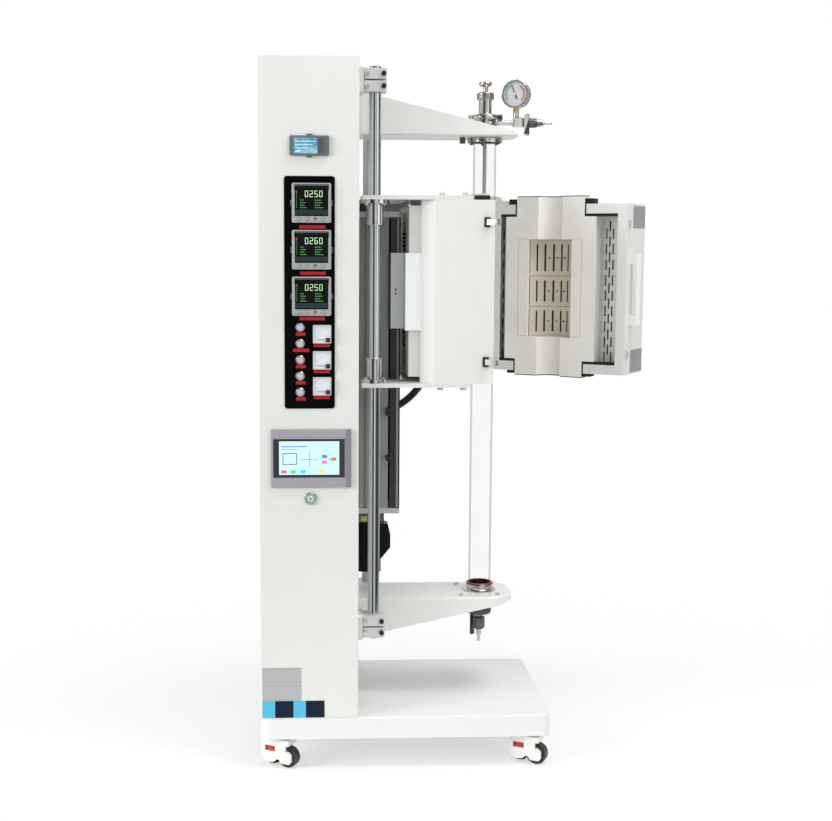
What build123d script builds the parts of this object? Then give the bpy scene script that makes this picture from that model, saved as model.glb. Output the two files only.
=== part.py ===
from build123d import *
import os
from math import sin, cos, tan, radians

# Split tube furnace on a lifting carriage, beside a control column.
# Working frame: X from the column's left side, Y from its front, Z from the top of the base.
# All lengths are in millimetres.

os.makedirs("parts", exist_ok=True)

# Driving dimensions: stand
base_length = 745.0
base_depth = 490.0
base_height = 56.0
base_corner = 20.0
base_sheet = 3.0
caster_height = 80.0
caster_inset_x = 32.0
caster_inset_y = 44.0
caster_right_inset = 70.0

# Driving dimensions: control column
column_width = 248.0
column_depth = 440.0
column_height = 1652.0
sheet = 2.0
panel_center_x = 126.0
panel_center_z = 1080.0
panel_width = 124.0
panel_height = 570.0
panel_thickness = 2.0
controller_size = 96.0
controller_x = 131.0
controller_z = (1300.0, 1186.5, 1073.0)
recorder_width = 96.0
recorder_height = 48.0
recorder_z = 1438.0
screen_width = 200.0
screen_height = 147.0
screen_x = 129.0
screen_z = 670.5
button_x = 102.5
button_top_z = 996.5
button_pitch = 40.2
button_count = 5
button_travel = 2.5
meter_x = 156.5
meter_top_z = 980.0
meter_pitch = 64.5
meter_count = 3
meter_size = 45.0
key_x = 127.5
key_z = 568.0

# Driving dimensions: lift
rod_diameter = 30.0
rod_x = 289.5
rod_front_y = 71.0
rod_bottom_z = 190.0
rod_top_z = 1637.0
tube_x = 587.0
tube_y = 250.0
module_width = 160.0
module_body_depth = 83.0
module_gap = 5.0
module_cover_depth = 26.0
module_bottom_z = 496.0
module_top_z = 1284.0
module_end = 14.0
plate_thickness = 10.0
plate_left_x = 256.0
plate_right_x = 533.0

# Driving dimensions: furnace
furnace_bottom_z = 853.0
furnace_height = 458.0
furnace_depth = 436.0
half_width = 181.0
furnace_chamfer = 32.0
furnace_sheet = 2.0
rim_width = 26.0
hinge_rim_width = 72.0
hinge_offset = 13.0
door_angle = 58.0
door_gap = 0.6
insulation_half = 130.0
insulation_back_gap = 30.0
collar_half = 98.5
collar_depth = 35.0
collar_rise_top = 20.0
collar_rise_bottom = 10.0
end_bore_radius = 35.0
heater_inner_radius = 62.0
heater_outer_radius = 80.0
heater_zones = (83.0, 84.0, 100.0)
heater_slots = 6
heater_slot_step = 22.0
window_half = 63.0
window_lip = 10.0

# Driving dimensions: tube and its fittings
tube_outer_radius = 30.0
tube_wall = 3.0
arm_width = 176.0
arm_tip_x = 670.0
arm_upper_z = 1478.0
arm_upper_root = 108.0
arm_upper_tip = 8.0
arm_lower_z = 269.0
arm_lower_root = 105.0
arm_lower_tip = 14.0
fitting_drop = 6.0
arm_sheet = 6.0
arm_fold = 5.0
rod_radius = 5.0

# Clearances
running_gap = 0.05
seat_gap = 0.3
small_gap = 0.2

# Derived places
floor_z = -base_height - caster_height
furnace_top_z = furnace_bottom_z + furnace_height
furnace_center_z = furnace_bottom_z + furnace_height / 2
heater_bottom_z = furnace_center_z - sum(heater_zones) / 2
heater_top_z = furnace_center_z + sum(heater_zones) / 2
fitting_z = arm_upper_z - fitting_drop
furnace_front_y = tube_y - furnace_depth / 2
furnace_rear_y = tube_y + furnace_depth / 2
furnace_left_x = tube_x - half_width
hinge_y = furnace_rear_y + hinge_offset
rod_rear_y = 2 * tube_y - rod_front_y
module_left_x = column_width
module_gap_x = module_left_x + module_body_depth
module_cover_x = module_gap_x + module_gap
module_right_x = module_cover_x + module_cover_depth
module_front_y = tube_y - module_width / 2
module_rear_y = tube_y + module_width / 2
panel_face_y = -panel_thickness

parts = {}
axes = {}


def block(x0, x1, y0, y1, z0, z1):
    """A box from its lowest to its highest corner."""
    size = Box(abs(x1 - x0), abs(y1 - y0), abs(z1 - z0))
    return Pos((x0 + x1) / 2, (y0 + y1) / 2, (z0 + z1) / 2) * size


def disc_z(x, y, z0, z1, radius):
    """An upright cylinder between two heights."""
    return Pos(x, y, (z0 + z1) / 2) * Cylinder(radius, abs(z1 - z0))


def disc_y(x, z, y0, y1, radius):
    """A cylinder along the depth."""
    return Pos(x, (y0 + y1) / 2, z) * Rot(90, 0, 0) * Cylinder(radius, abs(y1 - y0))


def disc_x(y, z, x0, x1, radius):
    """A cylinder along the width."""
    return Pos((x0 + x1) / 2, y, z) * Rot(0, 90, 0) * Cylinder(radius, abs(x1 - x0))


def prism(points, z0, z1):
    """An upright prism over a closed outline in plan."""
    outline = make_face(Polyline(*[(x, y) for x, y in points], close=True))
    return Pos(0, 0, z0) * extrude(outline, z1 - z0)


def hex_z(x, y, z0, z1, across):
    """An upright hexagonal bar."""
    return Pos(x, y, z0) * extrude(RegularPolygon(across / 2, 6, major_radius=False), z1 - z0)


def group(*solids):
    """Separate solids kept in one node."""
    return Compound(children=[s for item in solids for s in item.solids()])


# Base: a folded sheet tray with rounded corners, stiffened by two cross channels
def base_frame():
    outer = Rectangle(base_length, base_depth)
    outer = fillet(outer.vertices(), base_corner)
    slab = Pos(base_length / 2, base_depth / 2, -base_height) * extrude(outer, base_height)
    slab = fillet(slab.edges().group_by(Axis.Z)[-1], base_sheet)
    inner = Rectangle(base_length - 2 * base_sheet, base_depth - 2 * base_sheet)
    inner = fillet(inner.vertices(), base_corner - base_sheet)
    hollow = Pos(base_length / 2, base_depth / 2, -base_height) * extrude(inner, base_height - base_sheet)
    tray = slab - hollow
    wall = base_sheet
    pad = 112.0
    for x in (wall, base_length - wall - pad):
        channel = block(x, x + pad, wall, base_depth - wall, -base_height, -base_height + 5.0)
        rib = block(x + pad - 4.0, x + pad, wall, base_depth - wall, -base_height + 5.0, -wall)
        corner_cut = Pos(base_length / 2, base_depth / 2, -base_height) * extrude(inner, base_height)
        tray = tray + ((channel + rib) & corner_cut)
    return tray


# Column: a folded shell, open at the back, with cut-outs for what the front carries
def front_cutouts(depth):
    cuts = []
    for z in controller_z:
        cuts.append(block(controller_x - 46, controller_x + 46, -depth, depth, z - 46, z + 46))
    for i in range(button_count):
        z = button_top_z - i * button_pitch
        cuts.append(disc_y(button_x, z, -depth, depth, 9.5 + seat_gap))
    for i in range(meter_count):
        z = meter_top_z - i * meter_pitch
        cuts.append(block(meter_x - 19, meter_x + 19, -depth, depth, z - 19, z + 19))
    return cuts


def column_shell():
    outer = block(0, column_width, 0, column_depth, 0, column_height)
    outer = fillet(outer.edges().filter_by(Axis.Z), 3.0)
    shell = outer - block(sheet, column_width - sheet, sheet, column_depth + 1, sheet, column_height - sheet)
    lip = 18.0
    for x0, x1 in ((sheet, sheet + lip), (column_width - sheet - lip, column_width - sheet)):
        shell += block(x0, x1, column_depth - 2 * sheet, column_depth - sheet, sheet, column_height - sheet)
    for cut in front_cutouts(5.0):
        shell -= cut
    shell -= block(panel_center_x - recorder_width / 2 + 2, panel_center_x + recorder_width / 2 - 2, -5, 5,
                   recorder_z - 22, recorder_z + 22)
    shell -= block(screen_x - screen_width / 2 + 5, screen_x + screen_width / 2 - 5, -5, 5,
                   screen_z - screen_height / 2 + 5, screen_z + screen_height / 2 - 5)
    shell -= disc_y(key_x, key_z, -5, 5, 11.0 + seat_gap)
    return shell


def column_rear_panel():
    panel = block(sheet + seat_gap, column_width - sheet - seat_gap, column_depth - sheet, column_depth,
                  sheet + seat_gap, column_height - sheet - seat_gap)
    for row in range(2):
        for i in range(7):
            z = 240.0 + row * 1150.0 + i * 14.0
            slot = Box(120, 10, 5)
            slot = fillet(slot.edges().filter_by(Axis.Y), 2.4)
            panel -= Pos(column_width / 2, column_depth, z) * slot
    return panel


def control_panel():
    face = Rectangle(panel_width, panel_height)
    face = fillet(face.vertices(), 7.0)
    plate = Pos(panel_center_x, 0, panel_center_z) * Rot(90, 0, 0) * extrude(face, panel_thickness)
    for cut in front_cutouts(5.0):
        plate -= cut
    return plate


# Instruments: square bezels with their cases behind the panel
def controller(z):
    bezel = block(controller_x - 48, controller_x + 48, panel_face_y - 8, panel_face_y, z - 48, z + 48)
    bezel = fillet(bezel.edges().filter_by(Axis.Y), 4.0)
    bezel = chamfer(bezel.faces().sort_by(Axis.Y)[0].edges(), 1.5)
    window = block(controller_x - 41, controller_x + 41, panel_face_y - 9, panel_face_y - 6.5, z - 32, z + 38)
    body = block(controller_x - 45, controller_x + 45, panel_face_y, 70, z - 45, z + 45)
    keys = [disc_y(controller_x - 30 + 20 * i, z - 39, panel_face_y - 8.8, panel_face_y - 7.5, 3.6) for i in range(4)]
    return bezel - window + body + keys


def recorder():
    z = recorder_z
    x = panel_center_x
    bezel = block(x - recorder_width / 2, x + recorder_width / 2, -8, 0, z - recorder_height / 2, z + recorder_height / 2)
    bezel = fillet(bezel.edges().filter_by(Axis.Y), 3.0)
    bezel = chamfer(bezel.faces().sort_by(Axis.Y)[0].edges(), 1.2)
    window = block(x - 38, x + 20, -9, -7, z - 19, z + 19)
    body = block(x - 45, x + 45, 0, 75, z - 21, z + 21)
    return bezel - window + body


def panel_meter(z):
    half = meter_size / 2
    case = block(meter_x - half, meter_x + half, panel_face_y - 9, panel_face_y, z - half, z + half)
    case = fillet(case.edges().filter_by(Axis.Y), 2.0)
    dial = block(meter_x - half + 2, meter_x + half - 2, panel_face_y - 10, panel_face_y - 5.5, z - half + 2, z + half - 2)
    body = disc_y(meter_x, z, panel_face_y, 32, 18.5)
    return case - dial + body


def meter_pointer(z):
    pivot_x = meter_x + meter_size / 2 - 9
    pivot_z = z - meter_size / 2 + 9
    y1 = panel_face_y - 5.5 - small_gap
    hub = disc_y(pivot_x, pivot_z, y1 - 1.6, y1, 2.2)
    needle = block(pivot_x - 24, pivot_x, y1 - 1.3, y1 - 0.6, pivot_z - 0.5, pivot_z + 0.5)
    return hub + needle


def touch_screen():
    half_w = screen_width / 2
    half_h = screen_height / 2
    bezel = block(screen_x - half_w, screen_x + half_w, -7, 0, screen_z - half_h, screen_z + half_h)
    bezel = fillet(bezel.edges().filter_by(Axis.Y), 5.0)
    bezel = chamfer(bezel.faces().sort_by(Axis.Y)[0].edges(), 1.5)
    window = block(screen_x - half_w + 5, screen_x + half_w - 13, -8, -6.2, screen_z - half_h + 25, screen_z + half_h - 24)
    body = block(screen_x - half_w + 6, screen_x + half_w - 6, 0, 35, screen_z - half_h + 6, screen_z + half_h - 6)
    return bezel - window + body


# Push buttons: a metal ring with a threaded barrel, and a cap that slides in it
button_cap_radius = 7.6
button_ring_radius = 11.3


def button_ring(z):
    profile = Polyline((9.5, 30), (9.5, 0), (button_ring_radius, 0), (button_ring_radius, -2.0),
                       (button_ring_radius - 1.6, -3.6), (button_cap_radius + small_gap, -3.6),
                       (button_cap_radius + small_gap, 12), (3.0, 12), (3.0, 30), close=True)
    ring = revolve(make_face(profile), Axis.Y, 360)
    return Pos(button_x, panel_face_y, z) * ring


def button_cap(z):
    profile = Polyline((0, 8), (button_cap_radius, 8), (button_cap_radius, -2.9), (button_cap_radius - 0.7, -3.6),
                       (0, -3.6), close=True)
    return Pos(button_x, panel_face_y, z) * revolve(make_face(profile), Axis.Y, 360)


def key_switch_ring():
    profile = Polyline((11.0, 28), (11.0, 0), (15.8, 0), (15.8, -3.0), (13.6, -5.5), (8.0 + small_gap, -5.5),
                       (8.0 + small_gap, 10), (4, 10), (4, 28), close=True)
    return Pos(key_x, 0, key_z) * revolve(make_face(profile), Axis.Y, 360)


def key_switch_barrel():
    barrel = disc_y(key_x, key_z, -7, 9.5, 8.0)
    barrel = chamfer(barrel.faces().sort_by(Axis.Y)[0].edges(), 0.8)
    slot = block(key_x - 1.4, key_x + 1.4, -8, 3, key_z - 4.5, key_z + 4.5)
    return barrel - slot


# Guide rods in split clamp blocks, on plates against the column
clamp_plate = 12.0
clamp_width = 57.0
clamp_block = 26.0
clamp_slit = 4.0
clamp_pitch = 30.0
clamp_top_z = 1629.5
clamp_bottom_z = 253.0


def guide_rods():
    rods = []
    for y in (rod_front_y, rod_rear_y):
        rod = disc_z(rod_x, y, rod_bottom_z, rod_top_z, rod_diameter / 2)
        rods.append(chamfer(rod.edges(), 1.5))
    return group(*rods)


def rod_clamps():
    solids = []
    for y in (rod_front_y, rod_rear_y):
        for top in (clamp_top_z, clamp_bottom_z):
            plate = block(column_width, column_width + clamp_plate, y - 38, y + 38, top - 60, top + 4)
            plate = chamfer(plate.edges().filter_by(Axis.X), 3.0)
            solids.append(plate)
            for i in range(2):
                z1 = top - i * clamp_pitch
                z0 = z1 - clamp_block
                left = column_width + clamp_plate
                body = block(left, left + clamp_width, y - 30, y + 30, z0, z1)
                body = chamfer(body.edges().filter_by(Axis.Z), 2.0)
                body -= disc_z(rod_x, y, z0 - 1, z1 + 1, rod_diameter / 2 + running_gap)
                body -= block(rod_x, left + clamp_width + 1, y - clamp_slit / 2, y + clamp_slit / 2, z0 - 1, z1 + 1)
                solids.append(body)
    return group(*solids)


def clamp_screws():
    solids = []
    left = column_width + clamp_plate
    for y, sign in ((rod_front_y, -1), (rod_rear_y, 1)):
        for top in (clamp_top_z, clamp_bottom_z):
            for i in range(2):
                z = top - i * clamp_pitch - clamp_block / 2
                face = y + sign * 30
                solids.append(disc_y(left + clamp_width - 8, z, face, face + sign * 6, 6.0))
                head = Rot(90, 0, 0) * extrude(RegularPolygon(6.5, 6), 5.5)
                base_y = face if sign < 0 else face + 5.5
                solids.append(Pos(left + 7.5, base_y, z) * head)
    return group(*solids)


# Lift module: extruded body, slotted gap for the slider, channel cover, end plates and motor
def lift_module():
    x0 = module_left_x
    body = block(x0, module_gap_x, module_front_y, module_rear_y, module_bottom_z + module_end, module_top_z - module_end)
    for y in (module_front_y, module_rear_y):
        for dx in (22.0, 52.0):
            body -= block(x0 + dx - 3, x0 + dx + 3, y - 4, y + 4, module_bottom_z, module_top_z)
    cover = block(module_cover_x, module_right_x, module_front_y, module_rear_y, module_bottom_z + module_end,
                  module_top_z - module_end)
    cover = chamfer(cover.edges().filter_by(Axis.Z).group_by(Axis.X)[-1], 3.0)
    cover -= block(module_cover_x - 1, module_right_x - 10, module_front_y + 8, module_rear_y - 8,
                   module_bottom_z, module_top_z)
    ends = []
    for z0 in (module_bottom_z, module_top_z - module_end):
        end = block(x0, module_right_x, module_front_y - 2, module_rear_y + 2, z0, z0 + module_end)
        ends.append(chamfer(end.edges().filter_by(Axis.Z), 3.0))
    cap = block(x0, x0 + 62, tube_y - 70, tube_y + 70, module_top_z, module_top_z + 28)
    ends.append(chamfer(cap.edges().filter_by(Axis.Z), 4.0))
    sensors = []
    y0 = module_front_y
    for z0, z1 in ((757.0, 777.0), (640.0, 652.0)):
        sensor = block(module_gap_x - 5, module_gap_x + 4, y0 - 28, y0 - 20, z0, z1)
        sensors.append(sensor + block(module_gap_x - 6, module_gap_x - 0.5, y0 - 20.5, y0, z0, z1))
    return group(body, cover, *ends, *sensors)


motor_x = 286.5
motor_size = 76.0
motor_body_size = 60.0
motor_plug_x = 309.0
motor_neck = 11.0
motor_flange = 21.0
motor_body = 137.0


def lift_motor():
    top = module_bottom_z
    half = motor_size / 2
    inset = motor_body_size / 2
    neck = block(motor_x - half + 2, motor_x + half - 2, tube_y - half + 2, tube_y + half - 2, top - motor_neck, top)
    low = top - motor_neck - motor_flange
    flange = block(motor_x - half, motor_x + half, tube_y - half, tube_y + half, low, top - motor_neck)
    flange = chamfer(flange.edges().filter_by(Axis.Z), 5.0)
    body = block(motor_x - inset, motor_x + inset, tube_y - inset, tube_y + inset, low - motor_body, low)
    body = fillet(body.edges().filter_by(Axis.Z), 8.0)
    plug = prism([(0, 0), (24, 0), (31, 30), (31, 64), (8, 92), (0, 99)], 0, 40)
    plug = Pos(motor_plug_x, tube_y - inset - 30, low) * Rot(-90, 0, 0) * plug
    return neck + flange + (body + plug)


# Support arms: folded channels with a flat face towards the furnace
def arm_plan():
    x0 = column_width + clamp_plate
    half = arm_width / 2
    plan = make_face(Polyline((x0, tube_y - half), (arm_tip_x, tube_y - half), (arm_tip_x, tube_y + half),
                              (x0, tube_y + half), close=True))
    tips = plan.vertices().group_by(Axis.X)[-1]
    return fillet(tips, 62.0)


def support_arm(level, root, tip, direction):
    """A channel arm whose flat face is at level and whose webs rise or fall from it."""
    x0 = column_width + clamp_plate
    plan = arm_plan()
    reach = root + 12.0
    low = level if direction > 0 else level - reach
    solid = Pos(0, 0, low) * extrude(plan, reach)
    fold = solid.faces().sort_by(Axis.Z)[0 if direction > 0 else -1].edges()
    fold = fold.filter_by(lambda e: e.center().X > x0 + 1)
    solid = fillet(fold, arm_fold)
    inner = offset(plan, -arm_sheet)
    flat_low = low + arm_sheet if direction > 0 else low - 1
    solid -= Pos(0, 0, flat_low) * extrude(inner, reach - arm_sheet + 1)
    side = Polyline((x0 - 1, level + direction * root), (arm_tip_x + 1, level + direction * tip),
                    (arm_tip_x + 1, level + direction * (reach + 5)), (x0 - 1, level + direction * (reach + 5)),
                    close=True)
    cutter = extrude(Plane.XZ * make_face(side), arm_width + 20, both=True)
    solid -= Pos(0, tube_y, 0) * cutter
    foot = block(column_width, x0, tube_y - arm_width / 2 - 12, tube_y + arm_width / 2 + 12,
                 min(level, level + direction * (root + 6)), max(level, level + direction * (root + 6)))
    foot = chamfer(foot.edges().filter_by(Axis.X), 4.0)
    solid += foot
    solid -= disc_z(tube_x, tube_y, level - 20, level + 20, tube_outer_radius + 6)
    return solid


# Quartz tube with its end flanges
tube_bottom_z = arm_lower_z - 20.0
tube_top_z = arm_upper_z + 40.0
flange_radius = 46.0
seal_gap = 0.3


def quartz_tube():
    wall = disc_z(tube_x, tube_y, tube_bottom_z, tube_top_z, tube_outer_radius)
    return wall - disc_z(tube_x, tube_y, tube_bottom_z - 1, tube_top_z + 1, tube_outer_radius - tube_wall)


def spin_profile(points):
    """A turned piece about the tube's axis."""
    face = make_face(Plane.XZ * Polyline(*points, close=True))
    return Pos(tube_x, tube_y, 0) * revolve(face, Axis.Z, 360)


def bolt_circle(z0, z1, radius, count, across, start=0.0):
    bolts = []
    for i in range(count):
        angle = radians(start + 360.0 * i / count)
        bolts.append(hex_z(tube_x + radius * cos(angle), tube_y + radius * sin(angle), z0, z1, across))
    return bolts


def flange_upper():
    a = arm_upper_z
    r = tube_outer_radius + seal_gap
    ring = spin_profile([(r, a - 12), (flange_radius, a - 12), (flange_radius, a - 1.5), (flange_radius - 1.5, a),
                         (r, a)])
    rod = rod_radius + running_gap
    b = fitting_z
    top = a + arm_sheet
    neck = spin_profile([(r, top), (40, top), (40, top + 10), (34, top + 12), (28, b + 53), (32, b + 54),
                         (35, b + 57), (35, b + 62), (32, b + 65.5), (20, b + 66), (17, b + 69), (17, b + 104),
                         (rod, b + 104), (rod, a + 56), (24, b + 50), (26, tube_top_z + 1), (r, tube_top_z + 1)])
    x, y = tube_x, tube_y
    hinge = block(x - 44, x - 33, y - 8, y + 8, b + 55, b + 64.5)
    hinge = fillet(hinge.edges().filter_by(Axis.Z), 3.0)
    lug = block(x + 31, x + 40, y - 12, y - 4, b + 54, b + 66)
    wing = disc_x(y - 8, b + 59, x + 32, x + 44, 7.5)
    wing = fillet(wing.faces().sort_by(Axis.X)[-1].edges(), 2.0)
    nut = spin_profile([(rod, b + 104), (21, b + 104), (22.5, b + 106), (22.5, b + 120), (21, b + 122),
                        (12, b + 122), (rod, b + 124)])
    bolts = bolt_circle(a - 17, a - 12, 38, 6, 8.0, 30.0)
    stud = hex_z(x - 61, y - 20, a - 16, a, 13.0)
    return [ring, neck + hinge + lug + wing, nut, stud] + bolts


def flange_lower():
    a = arm_lower_z
    r = tube_outer_radius + seal_gap
    ring = spin_profile([(r, a), (44, a), (44, a + 3), (37, a + 4.5), (36, a + 5.5), (36, a + 17.5), (34.5, a + 19),
                         (r, a + 19)])
    under = a - arm_sheet
    low = tube_bottom_z
    cup = spin_profile([(r, under), (40, under), (40, under - 10), (34, under - 12), (28, a - 43), (30, a - 44),
                        (33, a - 48), (33, a - 60), (30, a - 65), (12, a - 66), (12, a - 70), (5, a - 70),
                        (5, a - 58), (24, a - 50), (26, low - 1), (r, low - 1)])
    bolts = bolt_circle(a + 2.8, a + 7.8, 41.0, 4, 6.0, 45.0)
    corners = []
    for dx, dy in ((-56, -60), (-56, 60), (41, -60), (41, 60)):
        corners.append(disc_z(tube_x + dx, tube_y + dy, a, a + 4.5, 6.0))
    return [ring, cup] + bolts + corners


def tube_flanges():
    return group(*flange_upper(), *flange_lower())


# Ceramic rod that slides through the upper seal, with its knob
def sample_rod():
    a = fitting_z
    shaft = disc_z(tube_x, tube_y, furnace_center_z - 150, a + 140, rod_radius)
    knob = spin_profile([(0, a + 138), (12, a + 138), (16, a + 141), (17.5, a + 144), (17.5, a + 147), (15, a + 150),
                         (0, a + 151)])
    stem = disc_z(tube_x, tube_y, a + 124.5, a + 139, 7.0)
    return shaft + knob + stem


# Gas fittings: side tube, cross block with riser, gauge, ball valve and barb; drain valve below
branch_z = fitting_z + 46.0
cross_x = 673.0
gauge_x = 668.0
gauge_z = fitting_z + 119.0
gauge_radius = 36.5
gauge_face = 16.0
gauge_turn = -25.0
valve_x = 693.0
drain_z = arm_lower_z - 91.0
drain_turn = 135.0
drain_bonnet = 17.0


def turn_gauge(solid):
    return Pos(gauge_x, tube_y, gauge_z) * Rot(0, 0, gauge_turn) * solid


def gauge_case():
    """A round case about its own middle, its dial towards the viewer."""
    case = disc_y(0, 0, -gauge_face, 16, gauge_radius)
    case = fillet(case.faces().sort_by(Axis.Y)[-1].edges(), 5.0)
    case = fillet(case.faces().sort_by(Axis.Y)[0].edges(), 1.5)
    case -= disc_y(0, 0, -gauge_face - 1, -gauge_face + 6, gauge_radius - 5.0)
    vent = disc_z(0, 0, gauge_radius - 3, gauge_radius + 3, 4.0)
    return turn_gauge(case + vent)


def gas_fittings():
    z = branch_z
    side = disc_x(tube_y, z, tube_x + 30.7, cross_x - 10, 6.5)
    collar = disc_x(tube_y, z, cross_x - 16, cross_x - 10, 8.0)
    cross = block(cross_x - 12, cross_x + 12, tube_y - 12, tube_y + 12, z - 11, z + 13)
    cross = chamfer(cross.edges(), 1.5)
    riser = disc_z(gauge_x, tube_y, z + 11, z + 27, 7.5)
    nut = hex_z(gauge_x, tube_y, z + 25, z + 36, 14.0)
    stem = disc_z(gauge_x, tube_y, z + 36, gauge_z - gauge_radius + 2, 6.0)
    manifold = side + collar + cross + riser + nut + stem
    case = gauge_case() - disc_z(gauge_x, tube_y, z, gauge_z - gauge_radius + 2, 6.0)
    body_face = make_face(Polyline((0, 12), (11, 12), (12.5, 22), (12.5, 44), (8, 66), (0, 66), close=True))
    body = Pos(cross_x, tube_y, z) * Rot(0, 0, -90) * revolve(body_face, Axis.Y, 360)
    for i in range(12):
        angle = radians(30 * i)
        groove = disc_x(tube_y + 13.4 * cos(angle), z + 13.4 * sin(angle), cross_x + 24, cross_x + 43, 1.8)
        body -= groove
    bonnet = disc_y(valve_x, z, tube_y - 17, tube_y, 6.0)
    barb_face = make_face(Polyline((0, 66), (6, 66), (6, 69), (4, 71), (4, 88), (3, 90), (0, 90), close=True))
    barb = Pos(cross_x, tube_y, z) * Rot(0, 0, -90) * revolve(barb_face, Axis.Y, 360)
    return group(manifold, case, body + bonnet + barb, drain_valve())


def drain_valve():
    d = drain_z
    top = arm_lower_z - 70.0
    tail = make_face(Plane.XZ * Polyline((0, top), (9, top), (9, d + 14), (0, d + 14), close=True))
    nose = make_face(Plane.XZ * Polyline((0, d - 16), (8, d - 16), (6.5, d - 22), (6.5, d - 34), (4.2, d - 36),
                                         (4.2, d - 52), (3.2, d - 53.5), (0, d - 53.5), close=True))
    body = revolve(tail, Axis.Z, 360) + revolve(nose, Axis.Z, 360)
    body = Pos(tube_x, tube_y, 0) * body
    hexagon = hex_z(tube_x, tube_y, d - 18, d + 16, 28.0)
    hexagon = chamfer(hexagon.edges().group_by(Axis.Z)[0] + hexagon.edges().group_by(Axis.Z)[-1], 2.5)
    bonnet = Rot(0, 0, drain_turn + 90) * disc_y(0, 0, -drain_bonnet, 0, 5.5)
    return body + hexagon + Pos(tube_x, tube_y, d) * bonnet


def gauge_pointer():
    y1 = -gauge_face + 6 - small_gap
    hub = disc_y(0, 0, y1 - 2, y1, 3.2)
    needle = block(-0.9, 0.9, y1 - 1.6, y1 - 0.8, 0, 24) + block(-1.6, 1.6, y1 - 1.6, y1 - 0.8, -14, 0)
    needle = Rot(0, -24, 0) * needle
    return turn_gauge(hub + needle)


def lever(length, swing):
    """A stamped valve lever hanging from its stem, which points along -Y from the origin."""
    hub = disc_y(0, 0, -7, 0, 7.5)
    bar = block(-7, 7, -8, -3, -length * (1 - swing), length * swing)
    return hub + fillet(bar.edges().filter_by(Axis.Y), 4.0)


# Carriage: two plates notched round the lift module, bearings, slider and bracket
notch_right_x = module_right_x + 10.0
notch_front_y = module_front_y - 14.0
notch_rear_y = module_rear_y + 52.0


def carriage_plate(z):
    plan = make_face(Polyline((plate_left_x, furnace_front_y), (plate_right_x, furnace_front_y),
                              (plate_right_x, furnace_rear_y), (plate_left_x, furnace_rear_y),
                              (plate_left_x, notch_rear_y), (notch_right_x, notch_rear_y),
                              (notch_right_x, notch_front_y), (plate_left_x, notch_front_y), close=True))
    plate = Pos(0, 0, z) * extrude(plan, plate_thickness)
    plate = fillet(plate.edges().filter_by(Axis.Z), 5.0)
    for y in (rod_front_y, rod_rear_y):
        plate -= disc_z(rod_x, y, z - 1, z + plate_thickness + 1, rod_diameter / 2 + 4)
    return plate


def carriage_plates():
    low = carriage_plate(furnace_bottom_z - plate_thickness)
    high = carriage_plate(furnace_top_z)
    solids = [low, high]
    for x in (456.0, 514.0):
        for y in (furnace_front_y + 22, furnace_rear_y - 22):
            top = furnace_top_z + plate_thickness
            bottom = furnace_bottom_z - plate_thickness
            solids.append(disc_z(x, y, top, top + 1.6, 8.0) + hex_z(x, y, top + 1.6, top + 8, 13.0))
            solids.append(disc_z(x, y, bottom - 1.6, bottom, 8.0) + hex_z(x, y, bottom - 8, bottom - 1.6, 13.0))
    solids.append(block(notch_right_x - 44, furnace_left_x - 2, furnace_rear_y - 10, furnace_rear_y - 2,
                        furnace_bottom_z, furnace_top_z))
    solids.append(conduit_gland())
    return group(*solids)


# Conduit: from a tilted gland under the lower plate, behind the module, into an elbow on the column
conduit_radius = 10.5
conduit_y = 364.0
conduit_x = 445.0
conduit_tilt = 25.0
conduit_lean = 62.0
conduit_radii = (172.0, 120.0)
gland_radius = 15.0
gland_length = 20.0
elbow_top_z = 560.0


def conduit_route():
    """Corner points of the conduit's run, from the gland to the elbow."""
    def step(point, angle, length):
        return (point[0] - length * sin(radians(angle)), point[1] - length * cos(radians(angle)))

    first = conduit_radii[0] * tan(radians(conduit_lean - conduit_tilt) / 2)
    second = conduit_radii[1] * tan(radians(conduit_lean) / 2)
    start = step((conduit_x, furnace_bottom_z - plate_thickness), conduit_tilt, 5.0)
    bend_a = step(start, conduit_tilt, first + 1.0)
    bend_b = step(bend_a, conduit_lean, first + second + 1.0)
    end = (bend_b[0], elbow_top_z - 4.0)
    return [start, bend_a, bend_b, end]


def conduit_gland():
    z = furnace_bottom_z - plate_thickness
    profile = Polyline((0, -10), (gland_radius, -10), (gland_radius, gland_length - 4),
                       (gland_radius - 2, gland_length), (conduit_radius + 1, gland_length),
                       (conduit_radius + 1, 4.7), (0, 4.7), close=True)
    gland = revolve(make_face(Plane.XZ * profile), Axis.Z, 360)
    gland = Pos(conduit_x, conduit_y, z) * Rot(0, 180 + conduit_tilt, 0) * gland
    return gland & block(conduit_x - 60, conduit_x + 60, conduit_y - 40, conduit_y + 40, z - 60, z)


def conduit():
    points = [(x, conduit_y, z) for x, z in conduit_route()]
    path = FilletPolyline(*points, radius=list(conduit_radii))
    turn = Rot(0, 180 + conduit_tilt, 0)
    section = Plane(Pos(*points[0]) * turn) * Circle(conduit_radius)
    return sweep(section, path=path)


def conduit_elbow():
    x = conduit_route()[-1][0]
    top = elbow_top_z
    upright = disc_z(x, conduit_y, top - 40, top, 14.0)
    upright = chamfer(upright.faces().sort_by(Axis.Z)[-1].edges(), 1.5)
    arm = disc_x(conduit_y, top - 27, column_width, x, 12.0)
    collar = disc_x(conduit_y, top - 27, column_width, column_width + 5, 18.0)
    bore = disc_z(x, conduit_y, top - 4.3, top + 1, conduit_radius + seat_gap)
    return upright + arm + collar - bore


bearing_length = 64.0
bearing_radius = 22.5
bearing_flange = 10.0
bearing_flange_radius = 37.0
bearing_bolt_radius = 30.0


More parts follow.
